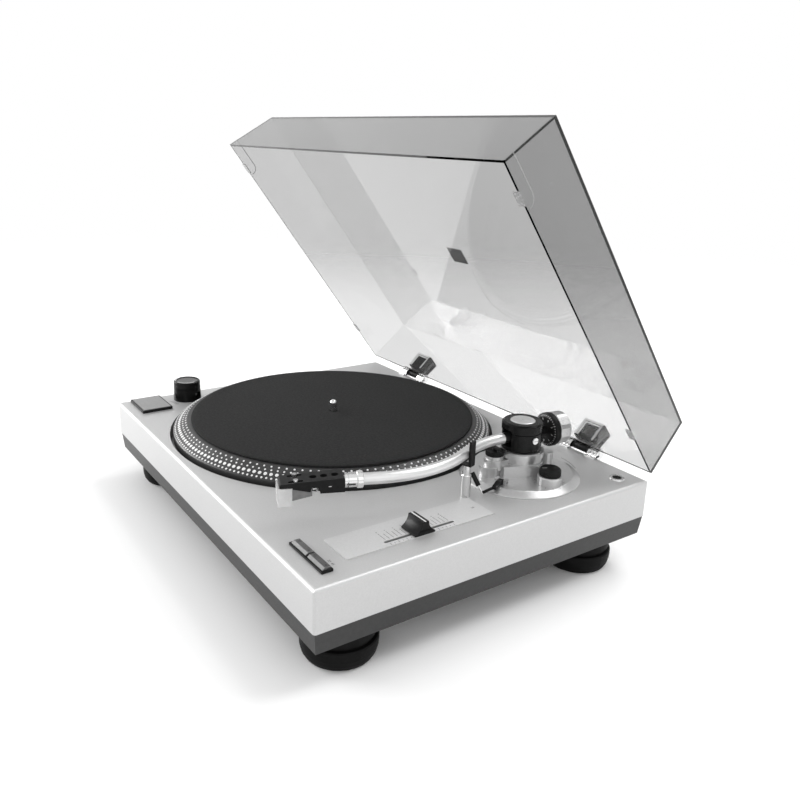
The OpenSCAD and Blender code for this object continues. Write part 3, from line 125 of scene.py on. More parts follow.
class Shapes:
    # Gathers many small solids into one mesh; sizes in millimetres in the frame that is given
    def __init__(self):
        self.points = []
        self.faces = []

    def add(self, matrix, points, faces):
        base = len(self.points)
        self.points += [matrix @ (Vector(p) * mm) for p in points]
        self.faces += [tuple(base + i for i in f) for f in faces]

    def prism(self, matrix, outline, low, high, shrink=0.0):
        # Upright prism over an outline, its top drawn in a little for a soft edge
        n = len(outline)
        cx = sum(p[0] for p in outline) / n
        cy = sum(p[1] for p in outline) / n
        top = []
        for x, y in outline:
            d = math.hypot(x - cx, y - cy) or 1
            k = max(0.0, (d - shrink) / d)
            top.append((cx + (x - cx) * k, cy + (y - cy) * k, high))
        points = [(x, y, low) for x, y in outline] + top
        faces = [tuple(range(n - 1, -1, -1)), tuple(range(n, 2 * n))]
        faces += [(i, (i + 1) % n, n + (i + 1) % n, n + i) for i in range(n)]
        self.add(matrix, points, faces)

    def bar(self, matrix, x, y, wide, long, low, high, shrink=0.0):
        w, d = wide / 2, long / 2
        corners = [(x - w, y - d), (x + w, y - d), (x + w, y + d), (x - w, y + d)]
        self.prism(matrix, corners, low, high, shrink)

    def ribs(self, matrix, count, radius, size, span, shrink=0.1):
        # Fine bars round the frame's z
        for i in range(count):
            spot = matrix @ turn(360 * i / count, "Z") @ shift(radius)
            self.bar(spot, 0, 0, *size, *span, shrink)

    def disc(self, matrix, x, y, radius, low, high, sides=16, shrink=0.0):
        angles = [2 * math.pi * i / sides for i in range(sides)]
        ring = [(x + radius * math.cos(a), y + radius * math.sin(a)) for a in angles]
        self.prism(matrix, ring, low, high, shrink)

    def arc(self, matrix, inner, outer, start, end, low, high, steps=24):
        outline = [(outer, start + (end - start) * i / steps) for i in range(steps + 1)]
        outline += [(inner, end - (end - start) * i / steps) for i in range(steps + 1)]
        spots = [(r * math.cos(math.radians(a)), r * math.sin(math.radians(a))) for r, a in outline]
        n = len(spots)
        points = [(x, y, low) for x, y in spots] + [(x, y, high) for x, y in spots]
        faces = []
        for i in range(steps):
            j = n - 1 - i
            faces.append((i + 1, i, j, j - 1))
            faces.append((n + i, n + i + 1, n + j - 1, n + j))
        faces += [(i, (i + 1) % n, n + (i + 1) % n, n + i) for i in range(n)]
        self.add(matrix, points, faces)

    def lathe(self, matrix, profile, steps):
        # Closed ring turned round z from (radius, height) pairs
        points = []
        for i in range(steps):
            a = 2 * math.pi * i / steps
            points += [(r * math.cos(a), r * math.sin(a), z) for r, z in profile]
        self.add(matrix, points, ringFaces(steps, len(profile)))

    def tube(self, matrix, path, radius, sides=10):
        # Round wire along a path of points, with closed ends
        spots = [Vector(p) for p in path]
        slant = Vector((0.31, 0.17, 0.93))   # a direction that no wire runs along
        points, faces = [], []
        for i, p in enumerate(spots):
            ahead = spots[min(i + 1, len(spots) - 1)] - spots[max(i - 1, 0)]
            ahead.normalize()
            side = ahead.cross(slant)
            side.normalize()
            up = side.cross(ahead)
            for k in range(sides):
                a = 2 * math.pi * k / sides
                points.append(p + side * (radius * math.cos(a)) + up * (radius * math.sin(a)))
        last = len(points) - sides
        for i in range(0, last, sides):
            for k in range(sides):
                after = (k + 1) % sides
                faces.append((i + k, i + sides + k, i + sides + after, i + after))
        faces.append(tuple(range(sides)))
        faces.append(tuple(range(last + sides - 1, last - 1, -1)))
        self.add(matrix, points, faces)

    def number(self, matrix, words, size, high=0.05):
        # Raised figures, centred on the frame's origin
        curve = bpy.data.curves.new("figures", "FONT")
        curve.body = words
        curve.size = size
        curve.align_x = "CENTER"
        curve.align_y = "CENTER"
        curve.extrude = high / 2
        holder = bpy.data.objects.new("figures", curve)
        bpy.context.scene.collection.objects.link(holder)
        bpy.context.view_layer.update()
        mesh = bpy.data.meshes.new_from_object(holder.evaluated_get(bpy.context.evaluated_depsgraph_get()))
        self.add(matrix @ shift(0, 0, high / 2), [v.co for v in mesh.vertices],
                 [tuple(p.vertices) for p in mesh.polygons])
        bpy.data.objects.remove(holder)
        bpy.data.curves.remove(curve)
        bpy.data.meshes.remove(mesh)

    def piece(self, name, material, body, slot=None, smooth=False):
        addPiece(name, self.points, self.faces, material, body, smooth)


# Materials
def grey(level, warm=0.0):
    return (level * (1 + warm), level, level * (1 - warm), 1)


def newMaterial(name):
    material = bpy.data.materials.new(name)
    material.use_nodes = True
    return material, material.node_tree, material.node_tree.nodes["Principled BSDF"]


def setInputs(node, values):
    for socket, value in values.items():
        node.inputs[socket].default_value = value


# What a look has where it says nothing else
plainLook = {"metal": 0.0, "ior": 1.5, "shine": 0.5, "coat": 0.0, "coatRough": 0.1, "sheen": 0.0,
             "sheenRough": 0.5, "through": 0.0, "mottleDetail": 4, "grainDetail": 3,
             "reliefDepth": 0.0001, "rings": False, "origin": (0, 0, 0)}
noiseSpan = (0.3, 0.7)   # where most of the noise lies


def makeSurface(name, ownLook):
    # Principled surface with mottled colour, uneven gloss and a fine relief
    look = {**plainLook, **ownLook}
    material, tree, shader = newMaterial(name)
    setInputs(shader, {"Metallic": look["metal"], "IOR": look["ior"], "Specular IOR Level": look["shine"],
                       "Coat Weight": look["coat"], "Coat Roughness": look["coatRough"],
                       "Sheen Weight": look["sheen"], "Sheen Roughness": look["sheenRough"],
                       "Transmission Weight": look["through"]})
    place = tree.nodes.new("ShaderNodeTexCoord")
    mapping = tree.nodes.new("ShaderNodeMapping")
    setInputs(mapping, {"Location": look["origin"]})
    tree.links.new(place.outputs["Object"], mapping.inputs["Vector"])
    mottle = tree.nodes.new("ShaderNodeTexNoise")
    setInputs(mottle, {"Scale": look["mottleScale"], "Detail": look["mottleDetail"]})
    tree.links.new(mapping.outputs["Vector"], mottle.inputs["Vector"])
    ramp = tree.nodes.new("ShaderNodeValToRGB")
    colours = (look["dark"], look["light"])
    for element, position, colour in zip(ramp.color_ramp.elements, noiseSpan, colours):
        element.position = position
        element.color = colour
    tree.links.new(mottle.outputs["Fac"], ramp.inputs["Fac"])
    tree.links.new(ramp.outputs["Color"], shader.inputs["Base Color"])
    gloss = tree.nodes.new("ShaderNodeMapRange")
    setInputs(gloss, {"From Min": noiseSpan[0], "From Max": noiseSpan[1],
                      "To Min": look["rough"][0], "To Max": look["rough"][1]})
    grain = tree.nodes.new("ShaderNodeTexNoise")
    setInputs(grain, {"Scale": look["grainScale"], "Detail": look["grainDetail"]})
    if look["rings"]:
        # Turned finish: the relief runs in rings round an upright axis through the origin
        split = tree.nodes.new("ShaderNodeSeparateXYZ")
        flat = tree.nodes.new("ShaderNodeCombineXYZ")
        length = tree.nodes.new("ShaderNodeVectorMath")
        length.operation = "LENGTH"
        tree.links.new(mapping.outputs["Vector"], split.inputs["Vector"])
        tree.links.new(split.outputs["X"], flat.inputs["X"])
        tree.links.new(split.outputs["Y"], flat.inputs["Y"])
        tree.links.new(flat.outputs["Vector"], length.inputs[0])
        tree.links.new(length.outputs["Value"], grain.inputs["Vector"])
    else:
        tree.links.new(mapping.outputs["Vector"], grain.inputs["Vector"])
    tree.links.new(grain.outputs["Fac"], gloss.inputs["Value"])
    tree.links.new(gloss.outputs["Result"], shader.inputs["Roughness"])
    relief = tree.nodes.new("ShaderNodeBump")
    setInputs(relief, {"Strength": look["relief"], "Distance": look["reliefDepth"]})
    tree.links.new(grain.outputs["Fac"], relief.inputs["Height"])
    tree.links.new(relief.outputs["Normal"], shader.inputs["Normal"])
    return material


platterCentre = atPlatter.translation
pivotCentre = atPivot.translation
looks = {
    "silverPaint": {"dark": grey(0.53), "light": grey(0.57), "metal": 0.35, "rough": (0.38, 0.46),
                    "mottleScale": 900, "grainScale": 2600, "relief": 0.05},
    "panelPaint": {"dark": grey(0.58), "light": grey(0.62), "metal": 0.1, "rough": (0.42, 0.5),
                   "mottleScale": 700, "grainScale": 2200, "relief": 0.05},
    "armSilver": {"dark": grey(0.54), "light": grey(0.58), "metal": 0.75, "rough": (0.28, 0.33),
                  "mottleScale": 500, "grainScale": 1800, "relief": 0.015},
    "darkBase": {"dark": grey(0.03), "light": grey(0.038), "metal": 0.0, "rough": (0.36, 0.46),
                 "mottleScale": 300, "grainScale": 1500, "relief": 0.1, "shine": 0.3},
    "blackRubber": {"dark": grey(0.003), "light": grey(0.005), "rough": (0.5, 0.62), "mottleScale": 120,
                    "grainScale": 1200, "relief": 0.15, "shine": 0.1},
    "blackSatin": {"dark": grey(0.007), "light": grey(0.011), "rough": (0.3, 0.42), "mottleScale": 260,
                   "grainScale": 1700, "relief": 0.08, "shine": 0.15},
    "blackGloss": {"dark": grey(0.005), "light": grey(0.008), "rough": (0.2, 0.28), "mottleScale": 200,
                   "grainScale": 1500, "relief": 0.03, "shine": 0.15},
    "shellBlack": {"dark": grey(0.007), "light": grey(0.011), "rough": (0.34, 0.44), "mottleScale": 300,
                   "grainScale": 2000, "relief": 0.08, "shine": 0.12},
    "felt": {"dark": grey(0.016), "light": grey(0.026), "rough": (0.88, 0.98), "mottleScale": 420,
             "grainScale": 900, "grainDetail": 6, "relief": 0.5, "reliefDepth": 0.0004, "sheen": 0.02,
             "sheenRough": 0.6, "shine": 0.12},
    "platterGrey": {"dark": grey(0.045), "light": grey(0.058), "metal": 0.5, "rough": (0.36, 0.46),
                    "mottleScale": 150, "grainScale": 900, "relief": 0.12, "shine": 0.35, "rings": True,
                    "origin": (-platterCentre.x, -platterCentre.y, 0)},
    "dotWhite": {"dark": grey(0.84), "light": grey(0.92), "rough": (0.3, 0.42), "mottleScale": 500,
                 "grainScale": 1500, "relief": 0.05},
    "chrome": {"dark": grey(0.66), "light": grey(0.72), "metal": 1.0, "rough": (0.12, 0.2),
               "mottleScale": 60, "grainScale": 700, "relief": 0.008},
    "weightSteel": {"dark": grey(0.44), "light": grey(0.5), "metal": 0.9, "rough": (0.2, 0.28),
                    "mottleScale": 90, "grainScale": 1200, "relief": 0.02},
    "tubeSilver": {"dark": grey(0.68), "light": grey(0.72), "metal": 0.6, "rough": (0.3, 0.34),
                   "mottleScale": 60, "grainScale": 700, "relief": 0.006},
    "steel": {"dark": grey(0.62), "light": grey(0.72), "metal": 1.0, "rough": (0.2, 0.32),
              "mottleScale": 150, "grainScale": 1400, "relief": 0.08},
    "spunDisc": {"dark": grey(0.72), "light": grey(0.82), "metal": 0.9, "rough": (0.24, 0.4),
                 "mottleScale": 220, "grainScale": 2600, "relief": 0.25, "rings": True,
                 "origin": (-pivotCentre.x, -pivotCentre.y, 0)},
    # Painted haze: lighter grey for the black hinge leaf seen through its clear pocket
    "leafPaintedHaze": {"dark": grey(0.1), "light": grey(0.13), "rough": (0.4, 0.5), "mottleScale": 300,
                 "grainScale": 1500, "relief": 0.06, "shine": 0.3},
    # Painted highlight: pale frames on the clear hinge pockets
    "pocketHighlightPale": {"dark": grey(0.58), "light": grey(0.64), "rough": (0.3, 0.4), "mottleScale": 300,
                   "grainScale": 1500, "relief": 0.03},
    # Painted light: pale grey for the grip's edge highlight and the pocket's lit sides
    "paintedLightGrey": {"dark": grey(0.36), "light": grey(0.44), "rough": (0.3, 0.4), "mottleScale": 200,
                 "grainScale": 1500, "relief": 0.03},
    "cartridgeGrey": {"dark": grey(0.15), "light": grey(0.19), "rough": (0.36, 0.46), "mottleScale": 300,
                      "grainScale": 1500, "relief": 0.08},
    "buttonGrey": {"dark": grey(0.26), "light": grey(0.3), "metal": 0.35, "rough": (0.3, 0.4),
                   "mottleScale": 400, "grainScale": 2000, "relief": 0.08},
    "speedGrey": {"dark": grey(0.13), "light": grey(0.17), "metal": 0.5, "rough": (0.26, 0.36),
                  "mottleScale": 400, "grainScale": 2000, "relief": 0.08},
    "capGrey": {"dark": grey(0.075), "light": grey(0.1), "rough": (0.36, 0.48), "mottleScale": 300,
                "grainScale": 1700, "relief": 0.1},
    "ink": {"dark": grey(0.03), "light": grey(0.05), "rough": (0.5, 0.6), "mottleScale": 600,
            "grainScale": 1500, "relief": 0.05},
    # Pale print, and also painted highlights on the power cap and the pocket edges
    "palePrintAndHighlight": {"dark": grey(0.7), "light": grey(0.8), "rough": (0.45, 0.55), "mottleScale": 600,
                  "grainScale": 1500, "relief": 0.05},
    "brass": {"dark": (0.5, 0.36, 0.14, 1), "light": (0.62, 0.47, 0.2, 1), "metal": 1.0,
              "rough": (0.22, 0.34), "mottleScale": 160, "grainScale": 1300, "relief": 0.08},
    "boardGreen": {"dark": (0.012, 0.075, 0.03, 1), "light": (0.02, 0.11, 0.045, 1), "rough": (0.25, 0.4),
                   "mottleScale": 500, "grainScale": 1500, "relief": 0.1, "coat": 0.3},
    "supplyCase": {"dark": grey(0.3, 0.06), "light": grey(0.38, 0.06), "metal": 0.8, "rough": (0.35, 0.5),
                   "mottleScale": 90, "grainScale": 900, "relief": 0.12},
    "whitePlastic": {"dark": grey(0.62), "light": grey(0.7), "rough": (0.35, 0.45), "mottleScale": 300,
                     "grainScale": 1500, "relief": 0.06},
    "redPlastic": {"dark": (0.25, 0.012, 0.012, 1), "light": (0.34, 0.02, 0.018, 1), "rough": (0.3, 0.4),
                   "mottleScale": 300, "grainScale": 1500, "relief": 0.06},
    "lampLens": {"dark": grey(0.03), "light": grey(0.05), "rough": (0.12, 0.2),
                 "mottleScale": 300, "grainScale": 1500, "relief": 0.04, "coat": 0.4},
    "wireWhite": {"dark": grey(0.6), "light": grey(0.7), "rough": (0.35, 0.45), "mottleScale": 400,
                  "grainScale": 1600, "relief": 0.05},
    "wireGrey": {"dark": grey(0.2), "light": grey(0.26), "rough": (0.35, 0.45), "mottleScale": 400,
                 "grainScale": 1600, "relief": 0.05},
    # Milky plastics that let about half of the light through
    "clearGuard": {"dark": grey(0.83), "light": grey(0.88), "rough": (0.12, 0.2), "mottleScale": 300,
                   "grainScale": 900, "relief": 0.004, "through": 0.45},
    "hazyBumper": {"dark": grey(0.5), "light": grey(0.55), "rough": (0.2, 0.3), "mottleScale": 300,
                   "grainScale": 900, "relief": 0.004, "through": 0.5},
}
made = {name: makeSurface(name, look) for name, look in looks.items()}

coverLook = {"density": 225.0, "tint": (0.0, 0.0, 0.0, 1), "rough": 0.0, "ior": 1.49,
             "smear": 0.03, "smearScale": 14, "smearDetail": 3, "smearSpan": (0.55, 0.9)}


def makeClear(name, look):
    # Clear plastic: light is lost along its way through, so long paths at edges go dark
    material, tree, shader = newMaterial(name)
    setInputs(shader, {"Base Color": grey(1.0), "Transmission Weight": 1.0, "IOR": look["ior"]})
    place = tree.nodes.new("ShaderNodeTexCoord")
    smear = tree.nodes.new("ShaderNodeTexNoise")
    setInputs(smear, {"Scale": look["smearScale"], "Detail": look["smearDetail"]})
    tree.links.new(place.outputs["Object"], smear.inputs["Vector"])
    gloss = tree.nodes.new("ShaderNodeMapRange")
    setInputs(gloss, {"From Min": look["smearSpan"][0], "From Max": look["smearSpan"][1],
                      "To Min": look["rough"], "To Max": look["rough"] + look["smear"]})
    tree.links.new(smear.outputs["Fac"], gloss.inputs["Value"])
    tree.links.new(gloss.outputs["Result"], shader.inputs["Roughness"])
    loss = tree.nodes.new("ShaderNodeVolumeAbsorption")
    setInputs(loss, {"Color": look["tint"], "Density": look["density"]})
    tree.links.new(loss.outputs["Volume"], tree.nodes["Material Output"].inputs["Volume"])
    return material


made["smokedCover"] = makeClear("smokedCover", coverLook)

nodeLooks = {
    "silverPaint": ["top_case"],
    "panelPaint": ["pitch_panel"],
    "armSilver": ["arm_plate", "arm_mount", "skate_post"],
    "darkBase": ["base_tray"],
    "blackRubber": ["feet", "belt"],
    "blackSatin": ["start_bezel", "speed_bezel", "rest_clip", "lifter_block", "lifter", "socket_plate",
                   "mains_inlet", "hinge_leaves", "skate_knob", "pitch_fader", "cue_lever", "weight_dial"],
    "blackGloss": ["strobe_tower", "power_cap", "pivot_housing"],
    "shellBlack": ["headshell"],
    "felt": ["slipmat"],
    "platterGrey": ["platter"],
    "chrome": ["rest_post", "spindle", "phono_sockets", "hinge_brackets", "locking_collar"],
    "weightSteel": ["counterweight"],
    "tubeSilver": ["arm_tube"],
    "steel": ["foot_screws", "base_screws", "shell_socket", "motor", "usb_socket", "pivot_screws",
              "shell_screws"],
    "spunDisc": ["pivot_cap"],
    "cartridgeGrey": ["cartridge", "pitch_slider"],
    "buttonGrey": ["start_button"],
    "speedGrey": ["speed_button_33", "speed_button_45"],
    "brass": ["bearing_housing", "motor_pulley", "earth_post"],
    "boardGreen": ["main_board", "phono_board", "start_switch", "speed_switches"],
    "supplyCase": ["power_supply"],
    "whitePlastic": ["line_switch"],
    "lampLens": ["strobe_lamp"],
    "smokedCover": ["dust_cover"],
    "clearGuard": ["stylus_guard"],
    "hazyBumper": ["cover_bumpers"],
}
for look, members in nodeLooks.items():
    for name in members:
        mesh = nodes[name].data
        mesh.materials.clear()
        mesh.materials.append(made[look])
dressed = {n for members in nodeLooks.values() for n in members}
print("stage: materials,", len(nodes) - len(dressed), "nodes left bare")

# Slipmat: thick felt with soft edges and a slightly uneven top
matShape = {
    "radius": 147.0, "hole": 3.9, "low": 12.62, "thick": 1.9, "uneven": 0.05,
    "steps": 240, "rings": 30,                         # round the mat, and from its middle to the rim
    "holeEdge": (0.5, 0.4),                            # out from the hole and down
    "rimEdge": [(0.9, 0.08), (0.3, 0.35), (0, 0.9)],   # in from the rim and down
    "tuck": 0.1,                                       # how far the rim is drawn in at the bottom
}


def makeMat(shape):
    radius, hole, low = shape["radius"], shape["hole"], shape["low"]
    top = low + shape["thick"]
    holeOut, holeDown = shape["holeEdge"]
    rings = [hole + holeOut] + [radius * k / shape["rings"] for k in range(1, shape["rings"])]
    profile = [(hole, low), (hole, top - holeDown)]
    profile += [(r, top) for r in rings if r < radius - shape["rimEdge"][0][0]]
    profile += [(radius - inwards, top - down) for inwards, down in shape["rimEdge"]]
    profile.append((radius - shape["tuck"], low))
    steps, count = shape["steps"], len(profile)
    points = []
    for i in range(steps):
        a = 2 * math.pi * i / steps
        for k, (r, z) in enumerate(profile):
            onTop = 1 < k < count - 3
            lift = shape["uneven"] * (random.random() - 0.5) if onTop else 0
            points.append(atPlatter @ (Vector((r * math.cos(a), r * math.sin(a), z + lift)) * mm))
    # The profile runs outwards over the top, so each face is turned round
    faces = [(a, d, c, b) for a, b, c, d in ringFaces(steps, count)]
    piece = addPiece("slipmat_felt", points, faces, made["felt"], "platter", True)
    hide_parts("slipmat")


makeMat(matShape)

# Strobe dots: four rows of raised spots on the slanted rim
dotShape = {
    "rows": [  # count, radius of the row, radius and sides of a dot, angle of one dot
        (133, 152.35, 1.0, 10, -46.07),
        (160, 155.46, 0.95, 10, -46.52),
        (180, 159.14, 1.75, 12, -48.52),
        (216, 162.93, 1.1, 10, -48.22),
    ],
    "rim": ((151.3, 12.3), (164.2, 4.4)),   # the slanted rim, radius and height at both ends
    "span": (-0.05, 0.32), "soft": 0.22,
}


def makeDots(look):
    dots = Shapes()
    (r0, z0), (r1, z1) = look["rim"]
    slope = math.degrees(math.atan2(z0 - z1, r1 - r0))
    for count, radius, size, sides, start in look["rows"]:
        height = z0 + (radius - r0) * (z1 - z0) / (r1 - r0)
        for i in range(count):
            spot = atPlatter @ turn(start + 360 * i / count, "Z")
            spot = spot @ shift(radius, 0, height) @ turn(slope, "Y")
            dots.disc(spot, 0, 0, size, *look["span"], sides, look["soft"])
    dots.piece("strobe_dots", made["dotWhite"], "platter", "white_plastic")


makeDots(dotShape)
print("stage: platter dressed")

# Pitch scale: long ticks and figures on the slot's inner side, short ticks on its outer side
pitchPrint = {
    "spot": (185, -63.3), "slot": 10.5, "top": 0.8,   # the panel's middle, the slot beside it, its top
    "step": 3.8, "each": 8, "tick": 0.3,              # between ticks, ticks each way, width of a tick
    "inner": (11, 8.5), "innerGap": 3,                # even and odd ticks, gap from the slot's line
    "outer": (2.8, 1.6), "outerSpot": 4.4,
    "figure": 1.9, "figureSpot": -15.8,
    "range": "10", "rangeSize": 3.2, "rangeSpot": (-10.5, 62),
    "ink": (-0.02, 0.05),
}


def makePitchPrint(look):
    shapes = Shapes()
    place = atDeck @ shift(look["spot"][0] + look["slot"], look["spot"][1], look["top"])
    for i in range(-look["each"], look["each"] + 1):
        y = i * look["step"]
        inner, outer = look["inner"][i % 2], look["outer"][i % 2]
        shapes.bar(place, -look["innerGap"] - inner / 2, y, inner, look["tick"], *look["ink"])
        if i % 2 == 0:
            spot = place @ shift(look["figureSpot"], y) @ turn(90, "Z")
            shapes.number(spot, str(abs(i)), look["figure"])
        shapes.bar(place, look["outerSpot"], y, outer, look["tick"], *look["ink"])
    shapes.number(place @ shift(*look["rangeSpot"]) @ turn(90, "Z"), look["range"], look["rangeSize"])
    shapes.piece("pitch_print", made["ink"], "chassis")


makePitchPrint(pitchPrint)

# Figures by the speed buttons, and dark strokes by the strobe tower painted as the platter rim's
# reflection in the deck
deckPrintAndReflection = {
    "words": "33  45", "spot": (198.5, -145.2), "size": 3.2,
    "reflectionStrokes": 5, "first": (1, -19.5), "step": (3.0, 0.5), "slant": -18, "reflectionStroke": (0.5, 4.2),
    "ink": (-0.02, 0.05),
}


def makeDeckPrint(look):
    shapes = Shapes()
    shapes.number(atDeck @ shift(*look["spot"]), look["words"], look["size"])
    (x, y), (stepX, stepY) = look["first"], look["step"]
    # Painted reflection: short dark strokes where the platter's rim shows in the deck
    for i in range(look["reflectionStrokes"]):
        spot = atTower @ shift(x + stepX * i, y + stepY * i) @ turn(look["slant"], "Z")
        shapes.bar(spot, 0, 0, *look["reflectionStroke"], *look["ink"])
    shapes.piece("deck_print_and_reflection", made["ink"], "chassis")


makeDeckPrint(deckPrintAndReflection)

# Speed buttons: a figure and a dot on each
speedPrint = {
    "buttons": (("speed_button_33", "speed_33", "33"), ("speed_button_45", "speed_45", "45")),
    "back": 1.1, "figure": 3.4, "figureSpot": -7.4, "dot": 0.8, "dotSpot": 8.2, "ink": (-0.02, 0.06),
}


def makeSpeedFigures(look):
    for node, body, words in look["buttons"]:
        middle = overMiddle(node) @ shift(0, look["back"])
        shapes = Shapes()
        shapes.number(middle @ shift(look["figureSpot"]), words, look["figure"])
        shapes.disc(middle, look["dotSpot"], 0, look["dot"], *look["ink"])
        shapes.piece(node + "_figure", made["ink"], body)


makeSpeedFigures(speedPrint)

# Power cap: grey inlay with two pale arcs of painted highlight, ribs round the rim; heights from the cap's
# top
capShape = {
    "inlay": 11.7, "inlaySpan": (-0.92, -0.62), "inlaySides": 64, "inlaySoft": 0.3,
    "glintArcs": (11.9, 13.0), "glintSpans": ((-160, -105), (-75, 20)), "ink": (-0.03, 0.06),
    "ribs": 60, "ribRadius": 14.62, "rib": (0.3, 0.7), "ribSpan": (-6.8, -1.6),
}


def makeCap(look):
    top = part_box("power_cap")[1].z
    place = Matrix.Translation((atTower.translation.x, atTower.translation.y, top))
    inlay = Shapes()
    inlay.disc(place, 0, 0, look["inlay"], *look["inlaySpan"], look["inlaySides"], look["inlaySoft"])
    inlay.piece("power_cap_inlay", made["capGrey"], "power", "grey_plastic")
    # Painted highlights: two pale arcs where the cap's rim catches the light
    glintArcs = Shapes()
    for start, end in look["glintSpans"]:
        glintArcs.arc(place, *look["glintArcs"], start, end, *look["ink"])
    glintArcs.piece("power_cap_painted_glints", made["palePrintAndHighlight"], "power")
    ribs = Shapes()
    ribs.ribs(place, look["ribs"], look["ribRadius"], look["rib"], look["ribSpan"])
    ribs.piece("power_cap_ribs", made["blackGloss"], "power", "black_plastic")


makeCap(capShape)
print("stage: controls dressed")

# Fader: white line along its ridge
faderShape = {"line": (19.0, 1.3), "span": (-0.05, 0.12), "soft": 0.05}


def makeFaderLine(look):
    shapes = Shapes()
    shapes.bar(overMiddle("pitch_fader"), 0, 0, *look["line"], *look["span"], look["soft"])
    shapes.piece("fader_line", made["palePrintAndHighlight"], "fader", "white_plastic")


makeFaderLine(faderShape)

# Tracking dial: ticks and figures round its front, a ribbed rim
dialShape = {
    "front": 27,   # the dial's face, behind the arm's pivot
    "figures": ["0", "1", "2", "3", "4"], "figureCount": 9, "figureRadius": 10.2, "figure": 2.9,
    "ticks": 36, "tickSpot": (13.6, 0, -0.72), "slope": 26.6, "tick": 0.32,
    "long": 1.9, "short": 1.1, "longEach": 4, "ink": (-0.03, 0.08),
    "ribs": 72, "ribRadius": 15.6, "rib": (0.36, 0.6), "ribSpan": (-6.3, -2.5),
}


def makeDial(look):
    # z of this frame points forwards out of the dial's face
    face = atStub @ shift(-look["front"]) @ turn(90, "Y")
    marks = Shapes()
    for i in range(look["ticks"]):
        spot = face @ turn(360 * i / look["ticks"], "Z")
        spot = spot @ shift(*look["tickSpot"]) @ turn(look["slope"], "Y")
        length = look["short"] if i % look["longEach"] else look["long"]
        marks.bar(spot, 0, 0, length, look["tick"], *look["ink"])
    for i in range(look["figureCount"]):
        spot = face @ turn(360 * i / look["figureCount"], "Z")
        spot = spot @ shift(look["figureRadius"]) @ turn(-90, "Z")
        marks.number(spot, look["figures"][i % len(look["figures"])], look["figure"], look["ink"][1])
    marks.piece("dial_marks", made["palePrintAndHighlight"], "dial", "white_plastic")
    ribs = Shapes()
    ribs.ribs(face, look["ribs"], look["ribRadius"], look["rib"], look["ribSpan"])
    ribs.piece("dial_ribs", made["blackSatin"], "dial", "black_plastic")


makeDial(dialShape)

# Ribs round the lifter's guide and the anti-skating knob
ribbed = [  # node, body, count, radius, size of a rib, the end of the node that the span is taken from
    ("lifter_block", "chassis", 44, 8.2, (0.34, 0.5), "low", (0.5, 3.8)),
    ("skate_knob", "skate", 56, 9.4, (0.3, 0.5), "high", (-5.8, -1.6)),
]


def makeRibs():
    for node, body, count, radius, size, end, span in ribbed:
        low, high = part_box(node)
        place = overMiddle(node, low.z if end == "low" else high.z)
        shapes = Shapes()
        shapes.ribs(place, count, radius, size, span)
        shapes.piece(node + "_ribs", made["blackSatin"], body, "black_plastic")


makeRibs()

# Anti-skating: a pointer on the knob, ticks round it, and a dark arc of painted shade along the back rim
# of the arm's plate
skatePrint = {
    "pointer": (4.2, 0.6), "pointerSpot": 5.2, "pointerAngle": -120, "ink": (-0.02, 0.05),
    "ticks": 8, "first": -150, "step": 30, "tick": (1.6, 0.3), "tickSpot": (13.0, 0, -14.18),
    "arc": (52.5, 53.0, 60, 88), "rimShadeHeight": 5, "thinInk": (-0.02, 0.04),   # radii, then angles
}


def makeSkatePrint(look):
    place = overMiddle("skate_knob")
    line = Shapes()
    spot = place @ turn(look["pointerAngle"], "Z")
    line.bar(spot, look["pointerSpot"], 0, *look["pointer"], *look["ink"])
    line.piece("skate_knob_line", made["palePrintAndHighlight"], "skate")
    ticksAndShade = Shapes()
    for i in range(look["ticks"]):
        spot = place @ turn(look["first"] + look["step"] * i, "Z") @ shift(*look["tickSpot"])
        ticksAndShade.bar(spot, 0, 0, *look["tick"], *look["thinInk"])
    # Painted shade: a dark arc where the plate's back rim meets the deck
    spot = atPivot @ turn(90, "Z") @ shift(0, 0, look["rimShadeHeight"])
    ticksAndShade.arc(spot, *look["arc"], *look["thinInk"])
    ticksAndShade.piece("skate_ticks_and_rim_shade", made["ink"], "chassis")


makeSkatePrint(skatePrint)

# Collar: fine ribs on its larger ring and dark slots along its body
collarShape = {
    "start": 14.7,   # from the end of the arm's bends
    "ribs": 48, "ribRadius": 6.8, "rib": (0.26, 0.42), "ribSpan": (0.7, 4.3),
    "slots": (75, 255), "slotRadius": 6.15, "slot": (0.3, 1.1), "slotSpan": (6.4, 13.2),   # slots by angle
}


def makeCollar(look):
    place = atBends @ shift(look["start"]) @ turn(90, "Y")
    ribs = Shapes()
    ribs.ribs(place, look["ribs"], look["ribRadius"], look["rib"], look["ribSpan"])
    ribs.piece("collar_ribs", made["chrome"], "collar", "chrome")
    slots = Shapes()
    for spin in look["slots"]:
        spot = place @ turn(spin, "Z") @ shift(look["slotRadius"])
        slots.bar(spot, 0, 0, *look["slot"], *look["slotSpan"])
    slots.piece("collar_slots", made["ink"], "collar", "black_plastic")


makeCollar(collarShape)

# Headshell leads: four short wires that bow out of the side windows to the cartridge pins
leadShape = {
    "wires": ((-4.2, -4.6), (-1.4, -2.2), (1.4, 2.2), (4.2, 4.6)),   # the pin's place and the bow of each
    "radius": 0.55, "steps": 18, "start": (13, -1.6), "startSpread": 0.8, "end": (22.2, -3.6),
    "sag": 1.6, "ahead": 1.2, "bowLate": 1.7,                        # the bow is widest past the middle
    "clip": (20.9, 21.3, 24.2, 24.6), "clipRadius": 0.95, "clipSides": 12,
}


